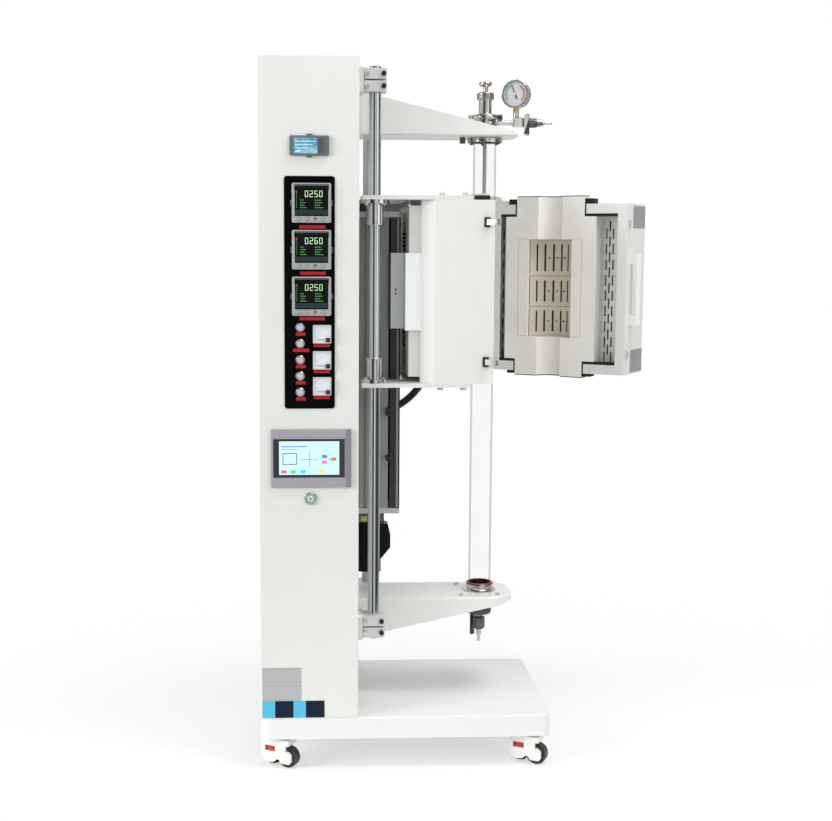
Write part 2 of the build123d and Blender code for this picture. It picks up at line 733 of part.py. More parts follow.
def rod_bearing(x, y, z, direction):
    """A flanged linear bearing, its flange on the plate at z."""
    bore = rod_diameter / 2 + running_gap
    end = bearing_length
    profile = Polyline((bore, 0), (bearing_flange_radius, 0), (bearing_flange_radius, bearing_flange),
                       (bearing_radius, bearing_flange), (bearing_radius, end - 1.5), (bearing_radius - 1.5, end),
                       (bore, end), close=True)
    solid = revolve(make_face(Plane.XZ * profile), Axis.Z, 360)
    for i in range(4):
        angle = radians(45 + 90 * i)
        x1 = bearing_bolt_radius * cos(angle)
        y1 = bearing_bolt_radius * sin(angle)
        solid += disc_z(x1, y1, bearing_flange, bearing_flange + 4.5, 4.8)
    if direction < 0:
        solid = Rot(180, 0, 0) * solid
    return Pos(x, y, z) * solid


def rod_bearings():
    solids = []
    for y in (rod_front_y, rod_rear_y):
        solids.append(rod_bearing(rod_x, y, furnace_top_z, -1))
        solids.append(rod_bearing(rod_x, y, furnace_bottom_z, 1))
    return group(*solids)


bracket_height = 194.0
bracket_sheet = 6.0
bracket_web_x = module_right_x + 5.0
slider_reach = 18.0


def lift_bracket():
    z0 = furnace_center_z - bracket_height / 2
    z1 = furnace_center_z + bracket_height / 2
    gap = 0.5
    slider = block(module_gap_x + gap, module_cover_x - gap, module_front_y - slider_reach,
                   module_rear_y + slider_reach, z0, z1)
    slider += block(module_cover_x - gap, module_right_x - 12, module_front_y + 12, module_rear_y - 12, z0, z1)
    solids = [slider]
    web = block(bracket_web_x, bracket_web_x + bracket_sheet, furnace_front_y + 34, furnace_rear_y - 34, z0, z1)
    for sign in (-1, 1):
        y_in = tube_y + sign * (module_width / 2 + slider_reach - bracket_sheet)
        y_out = tube_y + sign * (module_width / 2 + slider_reach)
        web += block(module_cover_x - gap, bracket_web_x + 1, min(y_in, y_out), max(y_in, y_out), z0, z1)
        leg_in = tube_y + sign * (furnace_depth / 2 - 34 - bracket_sheet)
        leg_out = tube_y + sign * (furnace_depth / 2 - 34)
        web += block(bracket_web_x + bracket_sheet - 1, furnace_left_x, min(leg_in, leg_out), max(leg_in, leg_out),
                     z0, z1)
    solids.append(web)
    return group(*solids)


# Furnace halves: the same folded case, mirrored about the split plane
def half_outline(inset=0.0):
    w = half_width - inset
    d = furnace_depth / 2 - inset
    c = furnace_chamfer - inset * (2 - 2 ** 0.5)
    return [(0, -d), (-w + c, -d), (-w, -d + c), (-w, d - c), (-w + c, d), (0, d)]


def half_shell(hinge_side):
    """A half with the split plane at X 0 and the tube axis at the origin; its hinge is on the given side."""
    solid = prism(half_outline(), furnace_bottom_z, furnace_top_z)
    solid = fillet(solid.edges().filter_by(Axis.Z).group_by(Axis.X)[0], 3.0)
    s = furnace_sheet
    inner = prism(half_outline(s), furnace_bottom_z + s, furnace_top_z - s)
    inner = inner & block(-half_width, -s, -furnace_depth, furnace_depth, 0, 2000)
    solid -= inner
    near = -hinge_side * (furnace_depth / 2 - rim_width)
    far = hinge_side * (furnace_depth / 2 - hinge_rim_width)
    solid -= block(-3 * s, 1, min(near, far), max(near, far), furnace_bottom_z + rim_width, furnace_top_z - rim_width)
    for z0, z1 in ((furnace_bottom_z - 1, furnace_bottom_z + rim_width + 1),
                   (furnace_top_z - rim_width - 1, furnace_top_z + 1)):
        solid -= block(-collar_depth - 2, 1, -collar_half - 2, collar_half + 2, z0, z1)
    return solid


def half_insulation():
    s = furnace_sheet
    back = -half_width + insulation_back_gap
    low = furnace_bottom_z + s
    high = furnace_top_z - s
    main = block(back, -s - 0.5, -insulation_half, insulation_half, low, high)
    face = block(-s - 0.5, 0, -insulation_half, insulation_half, furnace_bottom_z + rim_width + 1,
                 furnace_top_z - rim_width - 1)
    collar = block(-collar_depth, 0, -collar_half, collar_half, furnace_bottom_z - collar_rise_bottom,
                   furnace_top_z + collar_rise_top)
    solid = main + face + collar
    solid -= disc_z(0, 0, furnace_bottom_z - 40, furnace_top_z + 40, end_bore_radius)
    z0 = heater_bottom_z - seat_gap
    z1 = heater_top_z + seat_gap
    r = heater_outer_radius + seat_gap
    solid -= disc_z(0, 0, z0, z1, r) & block(-r - 1, -window_lip, -r - 1, r + 1, z0, z1)
    solid -= block(-window_lip - 1, 1, -window_half, window_half, z0, z1)
    return solid


def half_heaters(hinge_side):
    """Three half-round ceramic heaters, slotted where the wire runs and drilled for a thermocouple."""
    solids = []
    gap = 0.5
    z0 = heater_bottom_z
    front = -window_lip - seat_gap
    for height in heater_zones:
        low = z0 + gap
        high = z0 + height - gap
        ring = disc_z(0, 0, low, high, heater_outer_radius) - disc_z(0, 0, low - 1, high + 1, heater_inner_radius)
        ring &= block(-heater_outer_radius - 1, front, -heater_outer_radius - 1, heater_outer_radius + 1, low, high)
        for k in range(heater_slots):
            angle = (k - (heater_slots - 1) / 2) * heater_slot_step
            slot = block(-heater_inner_radius - 8, -heater_inner_radius + 4, -2.6, 2.6, low + 12, high - 12)
            ring -= Rot(0, 0, angle) * slot
        hole = disc_x(0, (low + high) / 2, -heater_outer_radius - 1, -heater_inner_radius + 2, 3.0)
        ring -= Rot(0, 0, hinge_side * 0.86 * heater_slot_step) * hole
        for k in range(heater_slots):
            angle = (k - (heater_slots - 1) / 2) * heater_slot_step
            ring += Rot(0, 0, angle) * disc_z(-heater_inner_radius - 5.2, 0, low + 12, high - 12, 1.8)
        solids.append(ring)
        z0 += height
    return group(*solids)


liner_sheet = 1.2
liner_depth = 65.0
liner_slot_pitch = 42.0
liner_slot_column = 9.6


def half_liner(hinge_side):
    """Bright liners in the two air gaps, with staggered cooling slots."""
    solids = []
    s = furnace_sheet
    z0 = furnace_bottom_z + s + 0.5
    z1 = furnace_top_z - s - 0.5
    outer = furnace_depth / 2 - s - 0.4
    start = insulation_half + 0.3
    count = int((z1 - z0 - 60) / liner_slot_pitch)
    for side_sign, first in ((hinge_side, 34.0), (-hinge_side, 9.0)):
        side = block(-liner_depth, -s - 0.3, start, start + liner_sheet, z0, z1)
        back = block(-liner_depth, -liner_depth + liner_sheet, start, outer, z0, z1)
        for col in range(3):
            y = start + first + liner_slot_column * col
            rise = liner_slot_pitch / 2 if col == 1 else 0.0
            for i in range(count):
                z = z0 + 40 + liner_slot_pitch * i + rise
                back -= block(-liner_depth - 2, -liner_depth + 4, y - 2, y + 2, z - 14, z + 14)
        piece = side + back
        solids.append(piece if side_sign > 0 else mirror(piece, Plane.XZ))
    return group(*solids)


def place_fixed(solid):
    return Pos(tube_x, tube_y, 0) * solid


def place_door(solid):
    """A half turned round to face the fixed one, then opened about the hinge."""
    turned = Pos(tube_x + door_gap, tube_y, 0) * Rot(0, 0, 180) * solid
    return open_door(turned)


def open_door(solid):
    return Pos(tube_x, hinge_y, 0) * Rot(0, 0, door_angle) * Pos(-tube_x, -hinge_y, 0) * solid


# Terminal cover: a louvred box over the heater terminals
louvre_rows = (936.0, 1186.0)
louvre_count = 5
louvre_pitch = 10.5


def terminal_cover():
    x0 = bracket_web_x + bracket_sheet + 3
    x1 = furnace_left_x
    y0 = furnace_front_y + 34 + bracket_sheet + 4
    y1 = furnace_rear_y - 34 - bracket_sheet - 4
    z0 = furnace_bottom_z + 14
    z1 = furnace_top_z - 14
    box = block(x0, x1, y0, y1, z0, z1)
    box = fillet(box.edges().filter_by(Axis.Z).group_by(Axis.X)[0], 3.0)
    box -= block(x0 + 1.5, x1 + 1, y0 + 1.5, y1 - 1.5, z0 + 1.5, z1 - 1.5)
    for z_start in louvre_rows:
        for i in range(louvre_count):
            slot = Box(12, 120, 5)
            slot = fillet(slot.edges().filter_by(Axis.X), 2.4)
            box -= Pos(x0, tube_y, z_start + louvre_pitch * i) * slot
    return box


# Hinges: two pairs of knuckles on leaves at the back
hinge_leaf = 3.0
knuckle_radius = 8.0
pin_radius = 4.0
hinge_spacing = 150.0
knuckle_height = 30.0


def hinge_fixed():
    solids = []
    for sign in (-1, 1):
        zc = furnace_center_z + sign * hinge_spacing
        leaf = block(tube_x - 46, tube_x - 2, furnace_rear_y, furnace_rear_y + hinge_leaf, zc - 34, zc + 34)
        arm = block(tube_x - 10, tube_x - 2, furnace_rear_y + hinge_leaf - 1, hinge_y, zc - 34, zc - 2)
        knuckle = disc_z(tube_x, hinge_y, zc - 34, zc - 2, knuckle_radius)
        pin = disc_z(tube_x, hinge_y, zc - 3, zc + 32, pin_radius)
        solids.append(leaf + arm + knuckle + pin)
    for sign in (-1, 1):
        zc = furnace_center_z + sign * latch_spacing
        base = block(latch_pivot_x - 13, latch_pivot_x + 2, furnace_front_y - 2.5, furnace_front_y, zc - 12.5, zc + 12.5)
        for z0, z1 in ((zc - 12.5, zc - 7.5), (zc + 7.5, zc + 12.5)):
            base += block(latch_pivot_x - 9, latch_pivot_x + 1, furnace_front_y - 11, furnace_front_y - 2, z0, z1)
        base -= disc_z(latch_pivot_x - 4, latch_pivot_y, zc - 13, zc + 13, 2.0 + running_gap)
        base += disc_z(latch_pivot_x - 4, latch_pivot_y, zc - 12.5, zc + 12.5, 2.0)
        solids.append(base)
    return group(*solids)


def hinge_door():
    solids = []
    for sign in (-1, 1):
        zc = furnace_center_z + sign * hinge_spacing
        leaf = block(tube_x + 4, tube_x + 48, furnace_rear_y, furnace_rear_y + hinge_leaf, zc - 34, zc + 34)
        arm = block(tube_x + 4, tube_x + 10, furnace_rear_y + hinge_leaf - 1, hinge_y, zc - 1.5, zc + 34)
        knuckle = disc_z(tube_x, hinge_y, zc - 1.5, zc + 34, knuckle_radius)
        piece = leaf + arm + knuckle
        piece -= disc_z(tube_x, hinge_y, zc - 4, zc + 32.5, pin_radius + running_gap)
        solids.append(piece)
    return solids


# Latches: a hook on each base and a keeper on the door
latch_spacing = 174.0
latch_pivot_x = 573.0
latch_pivot_y = furnace_front_y - 7.0
latch_rest = 55.0
hook_length = 37.5
keeper_x = tube_x + 17.0
handle_inset = 42.0
handle_length = 192.0
handle_reach = 25.0
handle_bar = 7.0
hinge_plate = 10.0


def latch_hook(sign):
    zc = furnace_center_z + sign * latch_spacing
    x = latch_pivot_x - 4
    y = latch_pivot_y
    eye = disc_z(x, y, zc - 7, zc + 7, 4.0)
    bar = block(x, x + hook_length, y - 4, y - 1.5, zc - 7, zc + 7)
    claw = block(x + hook_length - 3, x + hook_length, y - 4, y + 4.5, zc - 7, zc + 7)
    hook = eye + bar + claw - disc_z(x, y, zc - 8, zc + 8, 2.0 + running_gap)
    return Pos(x, y, 0) * Rot(0, 0, -latch_rest) * Pos(-x, -y, 0) * hook


def hinge_top_plate():
    """A plate on top of the door beside its hinge, with a raised end."""
    side = [(0, 0), (112, 0), (112, hinge_plate), (77, hinge_plate), (63, hinge_plate + 13), (0, hinge_plate + 13)]
    outline = make_face(Polyline(*side, close=True))
    plate = extrude(outline, 40.0)
    turn = Plane(origin=(tube_x + 43, furnace_rear_y, furnace_top_z), x_dir=(0, -1, 0), z_dir=(-1, 0, 0))
    return turn * plate


def door_fittings():
    y = furnace_front_y
    x = tube_x + handle_inset
    z0 = furnace_center_z - handle_length / 2
    z1 = furnace_center_z + handle_length / 2
    foot = 28.0
    handle = block(x - 7, x + 7, y - handle_reach, y, z0, z1)
    handle = fillet(handle.edges().filter_by(Axis.X).group_by(Axis.Y)[0], 3.0)
    handle -= block(x - 8, x + 8, y - handle_reach + handle_bar, y + 1, z0 + foot, z1 - foot)
    solids = [handle]
    for sign in (-1, 1):
        zc = furnace_center_z + sign * latch_spacing
        keeper = block(keeper_x - 6, keeper_x + 4, y - 2, y, zc - 12, zc + 12)
        keeper += block(keeper_x - 6, keeper_x - 2, y - 7, y - 1, zc - 9, zc + 9)
        solids.append(keeper)
    solids += hinge_door()
    solids.append(hinge_top_plate())
    return group(*[open_door(s) for s in solids])


# Levelling casters: swivel housing, wheel, red thumb wheel and screw foot
caster_trail = 44.0
caster_turn = -28.0
caster_wheel_radius = 27.0
caster_wheel_width = 24.0
caster_body_width = 44.0
caster_thumb_radius = 19.0


def caster_housing():
    """Housing about its swivel axis, trailing along +X, with Z 0 at the base's underside."""
    axle_z = -caster_height + caster_wheel_radius
    core = Pos(0, -44) * Circle(24)
    upper = Pos(8, -25) * Rectangle(64, 38)
    roof = Pos(24, -13) * Rectangle(60, 14)
    lobe = Pos(caster_trail, axle_z) * Circle(18)
    neck = Pos(22, -38) * Rectangle(44, 40)
    outline = core + upper + roof + lobe + neck
    solid = extrude(Plane.XZ * outline, caster_body_width / 2, both=True)
    solid = solid & block(-24, 60, -30, 30, 12.5 - caster_height, -6)
    wheel_room = Pos(caster_trail, 0, axle_z) * Rot(90, 0, 0) * Cylinder(caster_wheel_radius + 1.6,
                                                                         caster_wheel_width + 2)
    solid -= wheel_room
    solid -= block(-15, 15, -30, 30, -38.5, -23.5)
    solid -= disc_z(0, 0, -38.5, -23.5, caster_thumb_radius + 0.8)
    solid -= disc_z(0, 0, -caster_height, -12, 5.0 + seat_gap)
    solid += disc_z(0, 0, -6.5, 0, 16)
    axle = Pos(caster_trail, 0, axle_z) * Rot(90, 0, 0) * Cylinder(4.0, caster_body_width - 2)
    return solid + axle


def caster_wheel():
    axle_z = -caster_height + caster_wheel_radius
    half = caster_wheel_width / 2
    profile = Polyline((4.0 + running_gap, -half), (8, -half), (9, -half + 3), (19, -half + 3), (21, -half),
                       (23.5, -half), (caster_wheel_radius, -half + 1.5), (caster_wheel_radius, half - 1.5),
                       (23.5, half), (21, half), (19, half - 3), (9, half - 3), (8, half), (4.0 + running_gap, half),
                       close=True)
    return Pos(caster_trail, 0, axle_z) * revolve(make_face(profile), Axis.Y, 360)


def caster_thumb():
    rim = disc_z(0, 0, -37, -25, caster_thumb_radius)
    grooves = []
    for i in range(16):
        angle = 22.5 * i
        grooves.append(Rot(0, 0, angle) * disc_z(20.2, 0, -40, -20, 2.4))
    return rim - grooves - disc_z(0, 0, -50, -10, 5.0 + running_gap)


def caster_foot():
    stem = disc_z(0, 0, 12 - caster_height, -25, 5.0)
    pad = disc_z(0, 0, 6 - caster_height, 12 - caster_height, 14.5)
    pad = chamfer(pad.faces().sort_by(Axis.Z)[0].edges(), 1.5)
    return stem + pad


caster_places = {
    "front_left": (caster_inset_x, caster_inset_y),
    "front_right": (base_length - caster_right_inset, caster_inset_y),
    "rear_left": (caster_inset_x, base_depth - caster_inset_y),
    "rear_right": (base_length - caster_right_inset, base_depth - caster_inset_y),
}


def place_caster(solid, place):
    x, y = place
    return Pos(x, y, -base_height) * Rot(0, 0, caster_turn) * solid


# Assembly
parts["base_frame"] = base_frame()
parts["column_shell"] = column_shell()
parts["column_rear_panel"] = column_rear_panel()
parts["control_panel"] = control_panel()
parts["panel_instruments"] = group(*[controller(z) for z in controller_z], recorder(),
                                   *[panel_meter(meter_top_z - i * meter_pitch) for i in range(meter_count)],
                                   touch_screen(), key_switch_ring(),
                                   *[button_ring(button_top_z - i * button_pitch) for i in range(button_count)])
for i in range(button_count):
    parts[f"push_button_{i + 1}"] = button_cap(button_top_z - i * button_pitch)
for i in range(meter_count):
    z = meter_top_z - i * meter_pitch
    parts[f"meter_pointer_{i + 1}"] = meter_pointer(z)
    axes[f"meter_pointer_{i + 1}"] = (meter_x + meter_size / 2 - 9, panel_face_y - 6, z - meter_size / 2 + 9)
parts["key_switch_barrel"] = key_switch_barrel()
axes["key_switch"] = (key_x, 0, key_z)
parts["guide_rods"] = guide_rods()
parts["rod_clamps"] = group(rod_clamps(), clamp_screws())
parts["lift_module"] = lift_module()
parts["lift_motor"] = lift_motor()
parts["conduit"] = conduit()
parts["conduit_elbow"] = conduit_elbow()
parts["support_arms"] = group(support_arm(arm_upper_z, arm_upper_root, arm_upper_tip, 1),
                              support_arm(arm_lower_z, arm_lower_root, arm_lower_tip, -1))
parts["quartz_tube"] = quartz_tube()
parts["tube_flanges"] = tube_flanges()
parts["sample_rod"] = sample_rod()
parts["gas_fittings"] = gas_fittings()
parts["gauge_pointer"] = gauge_pointer()
axes["gauge_pointer"] = (gauge_x, tube_y, gauge_z)
parts["gas_valve_lever"] = Pos(valve_x, tube_y - 17 - seat_gap, branch_z) * lever(55.0, 0.38)
axes["gas_valve_lever"] = (valve_x, tube_y - 17, branch_z)
turned_lever = Rot(0, 0, drain_turn + 90) * Pos(0, -drain_bonnet - seat_gap, 0) * lever(60.0, 0.35)
parts["drain_valve_lever"] = Pos(tube_x, tube_y, drain_z) * turned_lever
axes["drain_valve_lever"] = (tube_x, tube_y, drain_z)
parts["carriage_plates"] = carriage_plates()
parts["rod_bearings"] = rod_bearings()
parts["lift_bracket"] = lift_bracket()
parts["furnace_shell"] = place_fixed(half_shell(1))
parts["furnace_insulation"] = place_fixed(half_insulation())
parts["furnace_heaters"] = place_fixed(half_heaters(1))
parts["furnace_liner"] = place_fixed(half_liner(1))
parts["terminal_cover"] = terminal_cover()
parts["hinge_and_latch_bases"] = hinge_fixed()
parts["door_shell"] = place_door(half_shell(-1))
parts["door_insulation"] = place_door(half_insulation())
parts["door_heaters"] = place_door(half_heaters(-1))
parts["door_liner"] = place_door(half_liner(-1))
parts["door_fittings"] = door_fittings()
axes["door"] = (tube_x, hinge_y, furnace_center_z)
for name, sign in (("upper", 1), ("lower", -1)):
    parts[f"latch_hook_{name}"] = latch_hook(sign)
    axes[f"latch_hook_{name}"] = (latch_pivot_x - 4, latch_pivot_y, furnace_center_z + sign * latch_spacing)
for name, place in caster_places.items():
    parts[f"caster_housing_{name}"] = place_caster(caster_housing(), place)
    parts[f"caster_wheel_{name}"] = place_caster(caster_wheel(), place)
    parts[f"caster_thumb_{name}"] = place_caster(caster_thumb(), place)
    parts[f"caster_foot_{name}"] = place_caster(caster_foot(), place)
    axes[f"caster_{name}"] = (place[0], place[1], -base_height)
    turn = radians(caster_turn)
    axes[f"caster_wheel_{name}"] = (place[0] + caster_trail * cos(turn), place[1] + caster_trail * sin(turn),
                                    floor_z + caster_wheel_radius)

# The finished frame has its origin at the middle of the bottom of the whole object
bounds = [shape.bounding_box() for shape in parts.values()]
low_x = min(b.min.X for b in bounds)
high_x = max(b.max.X for b in bounds)
low_y = min(b.min.Y for b in bounds)
high_y = max(b.max.Y for b in bounds)
low_z = min(b.min.Z for b in bounds)
shift = Location((-(low_x + high_x) / 2, -(low_y + high_y) / 2, -low_z))
print("shift", *[round(v, 4) for v in (-(low_x + high_x) / 2, -(low_y + high_y) / 2, -low_z)])
for name, place in axes.items():
    print("axis", name, *[round(v + s, 4) for v, s in zip(place, tuple(shift.position))])
for name, shape in parts.items():
    export_step(shift * shape, f"parts/{name}.step")
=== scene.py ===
import bmesh
import bpy
from math import cos, pi, radians, sin, tan
from mathutils import Matrix, Vector


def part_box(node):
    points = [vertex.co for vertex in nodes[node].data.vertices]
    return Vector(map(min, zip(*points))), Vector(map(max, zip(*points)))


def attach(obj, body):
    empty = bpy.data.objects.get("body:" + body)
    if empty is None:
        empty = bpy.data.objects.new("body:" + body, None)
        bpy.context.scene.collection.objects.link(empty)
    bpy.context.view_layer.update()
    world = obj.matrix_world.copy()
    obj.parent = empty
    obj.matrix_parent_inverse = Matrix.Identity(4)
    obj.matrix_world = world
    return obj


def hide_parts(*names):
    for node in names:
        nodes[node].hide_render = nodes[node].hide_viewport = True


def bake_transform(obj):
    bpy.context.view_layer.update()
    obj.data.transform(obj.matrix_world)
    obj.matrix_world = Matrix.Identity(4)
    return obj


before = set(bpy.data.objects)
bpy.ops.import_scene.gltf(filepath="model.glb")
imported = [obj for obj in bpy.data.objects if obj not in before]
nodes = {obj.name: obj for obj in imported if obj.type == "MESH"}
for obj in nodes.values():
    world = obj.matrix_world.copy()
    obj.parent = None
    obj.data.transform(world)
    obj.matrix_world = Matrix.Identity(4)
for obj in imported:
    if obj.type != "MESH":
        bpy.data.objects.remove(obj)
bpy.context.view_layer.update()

# Camera: where the picture was taken from, a little left of the machine's middle and
# just above half its height, turned slightly right and down. Distances are in metres
# from the column's lower front left corner.
column_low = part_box("column_shell")[0]
camera_offset = Vector((0.1134, -3.392, 1.195))
camera_yaw = radians(2.78)
camera_pitch = radians(6.69)
camera_roll = radians(0.19)
ahead_level = Vector((sin(camera_yaw), cos(camera_yaw), 0))
right_level = Vector((cos(camera_yaw), -sin(camera_yaw), 0))
ahead = ahead_level * cos(camera_pitch) - Vector((0, 0, sin(camera_pitch)))
above = ahead_level * sin(camera_pitch) + Vector((0, 0, cos(camera_pitch)))
right = right_level * cos(camera_roll) + above * sin(camera_roll)
above = above * cos(camera_roll) - right_level * sin(camera_roll)
camera_data = bpy.data.cameras.new("camera")
camera_data.lens = 59.45
camera_data.shift_x = 0.0541
camera_data.shift_y = -0.0034
camera_data.clip_end = 50
camera = bpy.data.objects.new("camera", camera_data)
camera.matrix_world = Matrix.Translation(column_low + camera_offset) @ Matrix(
    (right, above, -ahead)).transposed().to_4x4()
bpy.context.scene.collection.objects.link(camera)
bpy.context.scene.camera = camera
bpy.context.scene.view_settings.view_transform = "Standard"

# Studio: a pale floor, a broad soft lamp on the left, one overhead and a weak one right.
# The world is white to the camera and softly banded to metal, as a tent of white cloth
# with open seams would be.
def add_node(tree, kind, values=(), **settings):
    """A shader node with its settings, then the values of its inputs."""
    node = tree.nodes.new("ShaderNode" + kind)
    for setting, value in settings.items():
        setattr(node, setting, value)
    for socket, value in values:
        node.inputs[socket].default_value = value
    return node


def join(tree, *links):
    """Links outputs to inputs, given in pairs."""
    for start, end in links:
        tree.links.new(start, end)


world = bpy.data.worlds.new("studio")
bpy.context.scene.world = world
world.use_nodes = True
tree = world.node_tree
tree.nodes.clear()
direction = add_node(tree, "TexCoord")
split = add_node(tree, "SeparateXYZ")
bearing = add_node(tree, "Math", operation="ARCTAN2")
turn = add_node(tree, "MapRange", (("From Min", -pi), ("From Max", pi)))
bands = add_node(tree, "ValToRGB")
band_levels = ((0.0, 0.30), (0.06, 0.55), (0.11, 0.45), (0.15, 0.05), (0.22, 0.06), (0.25, 0.55),
               (0.27, 0.95), (0.30, 0.80), (0.34, 0.16), (0.40, 0.04), (0.47, 0.06), (0.56, 0.35),
               (0.75, 0.9), (0.92, 0.2))
ramp = bands.color_ramp
while len(ramp.elements) < len(band_levels):
    ramp.elements.new(0.5)
for element, (place, level) in zip(ramp.elements, band_levels):
    element.position = place
    element.color = (level, level, level, 1)
path = add_node(tree, "LightPath")
metal_light = add_node(tree, "Mix", (("A", (0.65, 0.655, 0.65, 1)),), data_type="RGBA")
seen = add_node(tree, "Math", operation="MAXIMUM")
backdrop = add_node(tree, "Mix", (("B", (1, 1, 1, 1)),), data_type="RGBA")
sky = add_node(tree, "Background")
world_out = add_node(tree, "OutputWorld")
join(tree, (direction.outputs["Generated"], split.inputs[0]),
     (split.outputs["Y"], bearing.inputs[0]), (split.outputs["X"], bearing.inputs[1]),
     (bearing.outputs[0], turn.inputs["Value"]), (turn.outputs["Result"], bands.inputs[0]),
     (path.outputs["Is Glossy Ray"], metal_light.inputs["Factor"]),
     (bands.outputs["Color"], metal_light.inputs["B"]),
     (path.outputs["Is Camera Ray"], seen.inputs[0]), (path.outputs["Is Transmission Ray"], seen.inputs[1]),
     (seen.outputs[0], backdrop.inputs["Factor"]), (metal_light.outputs["Result"], backdrop.inputs["A"]),
     (backdrop.outputs["Result"], sky.inputs["Color"]), (sky.outputs[0], world_out.inputs["Surface"]))


def softbox(name, place, aim, size, power):
    """A square lamp at a place, in metres, turned towards its aim."""
    lamp = bpy.data.lights.new(name, "AREA")
    lamp.size = size
    lamp.energy = power
    holder = bpy.data.objects.new(name, lamp)
    holder.location = place
    holder.rotation_euler = (Vector(aim) - Vector(place)).to_track_quat("-Z", "Y").to_euler()
    bpy.context.scene.collection.objects.link(holder)


softbox("key_lamp", (-5.2, -2.5, 2.4), (0, 0, 0.9), 2.2, 190)
softbox("top_lamp", (1.2, -1.0, 4.4), (0.1, 0, 0.3), 1.6, 80)
softbox("fill_lamp", (3.2, -3.0, 1.8), (0.1, 0, 1.0), 2.4, 22)

floor_mesh = bmesh.new()
bmesh.ops.create_grid(floor_mesh, x_segments=1, y_segments=1, size=14)
floor_data = bpy.data.meshes.new("floor")
floor_mesh.to_mesh(floor_data)
floor_mesh.free()
floor = bpy.data.objects.new("floor", floor_data)
bpy.context.scene.collection.objects.link(floor)
floor_finish = bpy.data.materials.new("pale_floor")
floor_finish.use_nodes = True
tree = floor_finish.node_tree
matt = tree.nodes["Principled BSDF"]
matt.inputs["Base Color"].default_value = (0.93, 0.93, 0.93, 1)
matt.inputs["Roughness"].default_value = 0.8
glow = add_node(tree, "Emission", (("Color", (1, 1, 1, 1)),))
path = add_node(tree, "LightPath")
glow_share = add_node(tree, "Math", ((1, 0.55),), operation="MULTIPLY")
lit = add_node(tree, "MixShader")
place = add_node(tree, "TexCoord")
reach = add_node(tree, "VectorMath", operation="LENGTH")
fade = add_node(tree, "MapRange", (("From Min", 0.55), ("From Max", 1.7)), interpolation_type="SMOOTHSTEP")
clear = add_node(tree, "BsdfTransparent")
faded = add_node(tree, "MixShader")
join(tree, (path.outputs["Is Camera Ray"], glow_share.inputs[0]), (glow_share.outputs[0], lit.inputs[0]),
     (matt.outputs[0], lit.inputs[1]), (glow.outputs[0], lit.inputs[2]),
     (place.outputs["Object"], reach.inputs[0]), (reach.outputs["Value"], fade.inputs["Value"]),
     (fade.outputs["Result"], faded.inputs[0]), (lit.outputs[0], faded.inputs[1]),
     (clear.outputs[0], faded.inputs[2]), (faded.outputs[0], tree.nodes["Material Output"].inputs["Surface"]))
floor_data.materials.append(floor_finish)


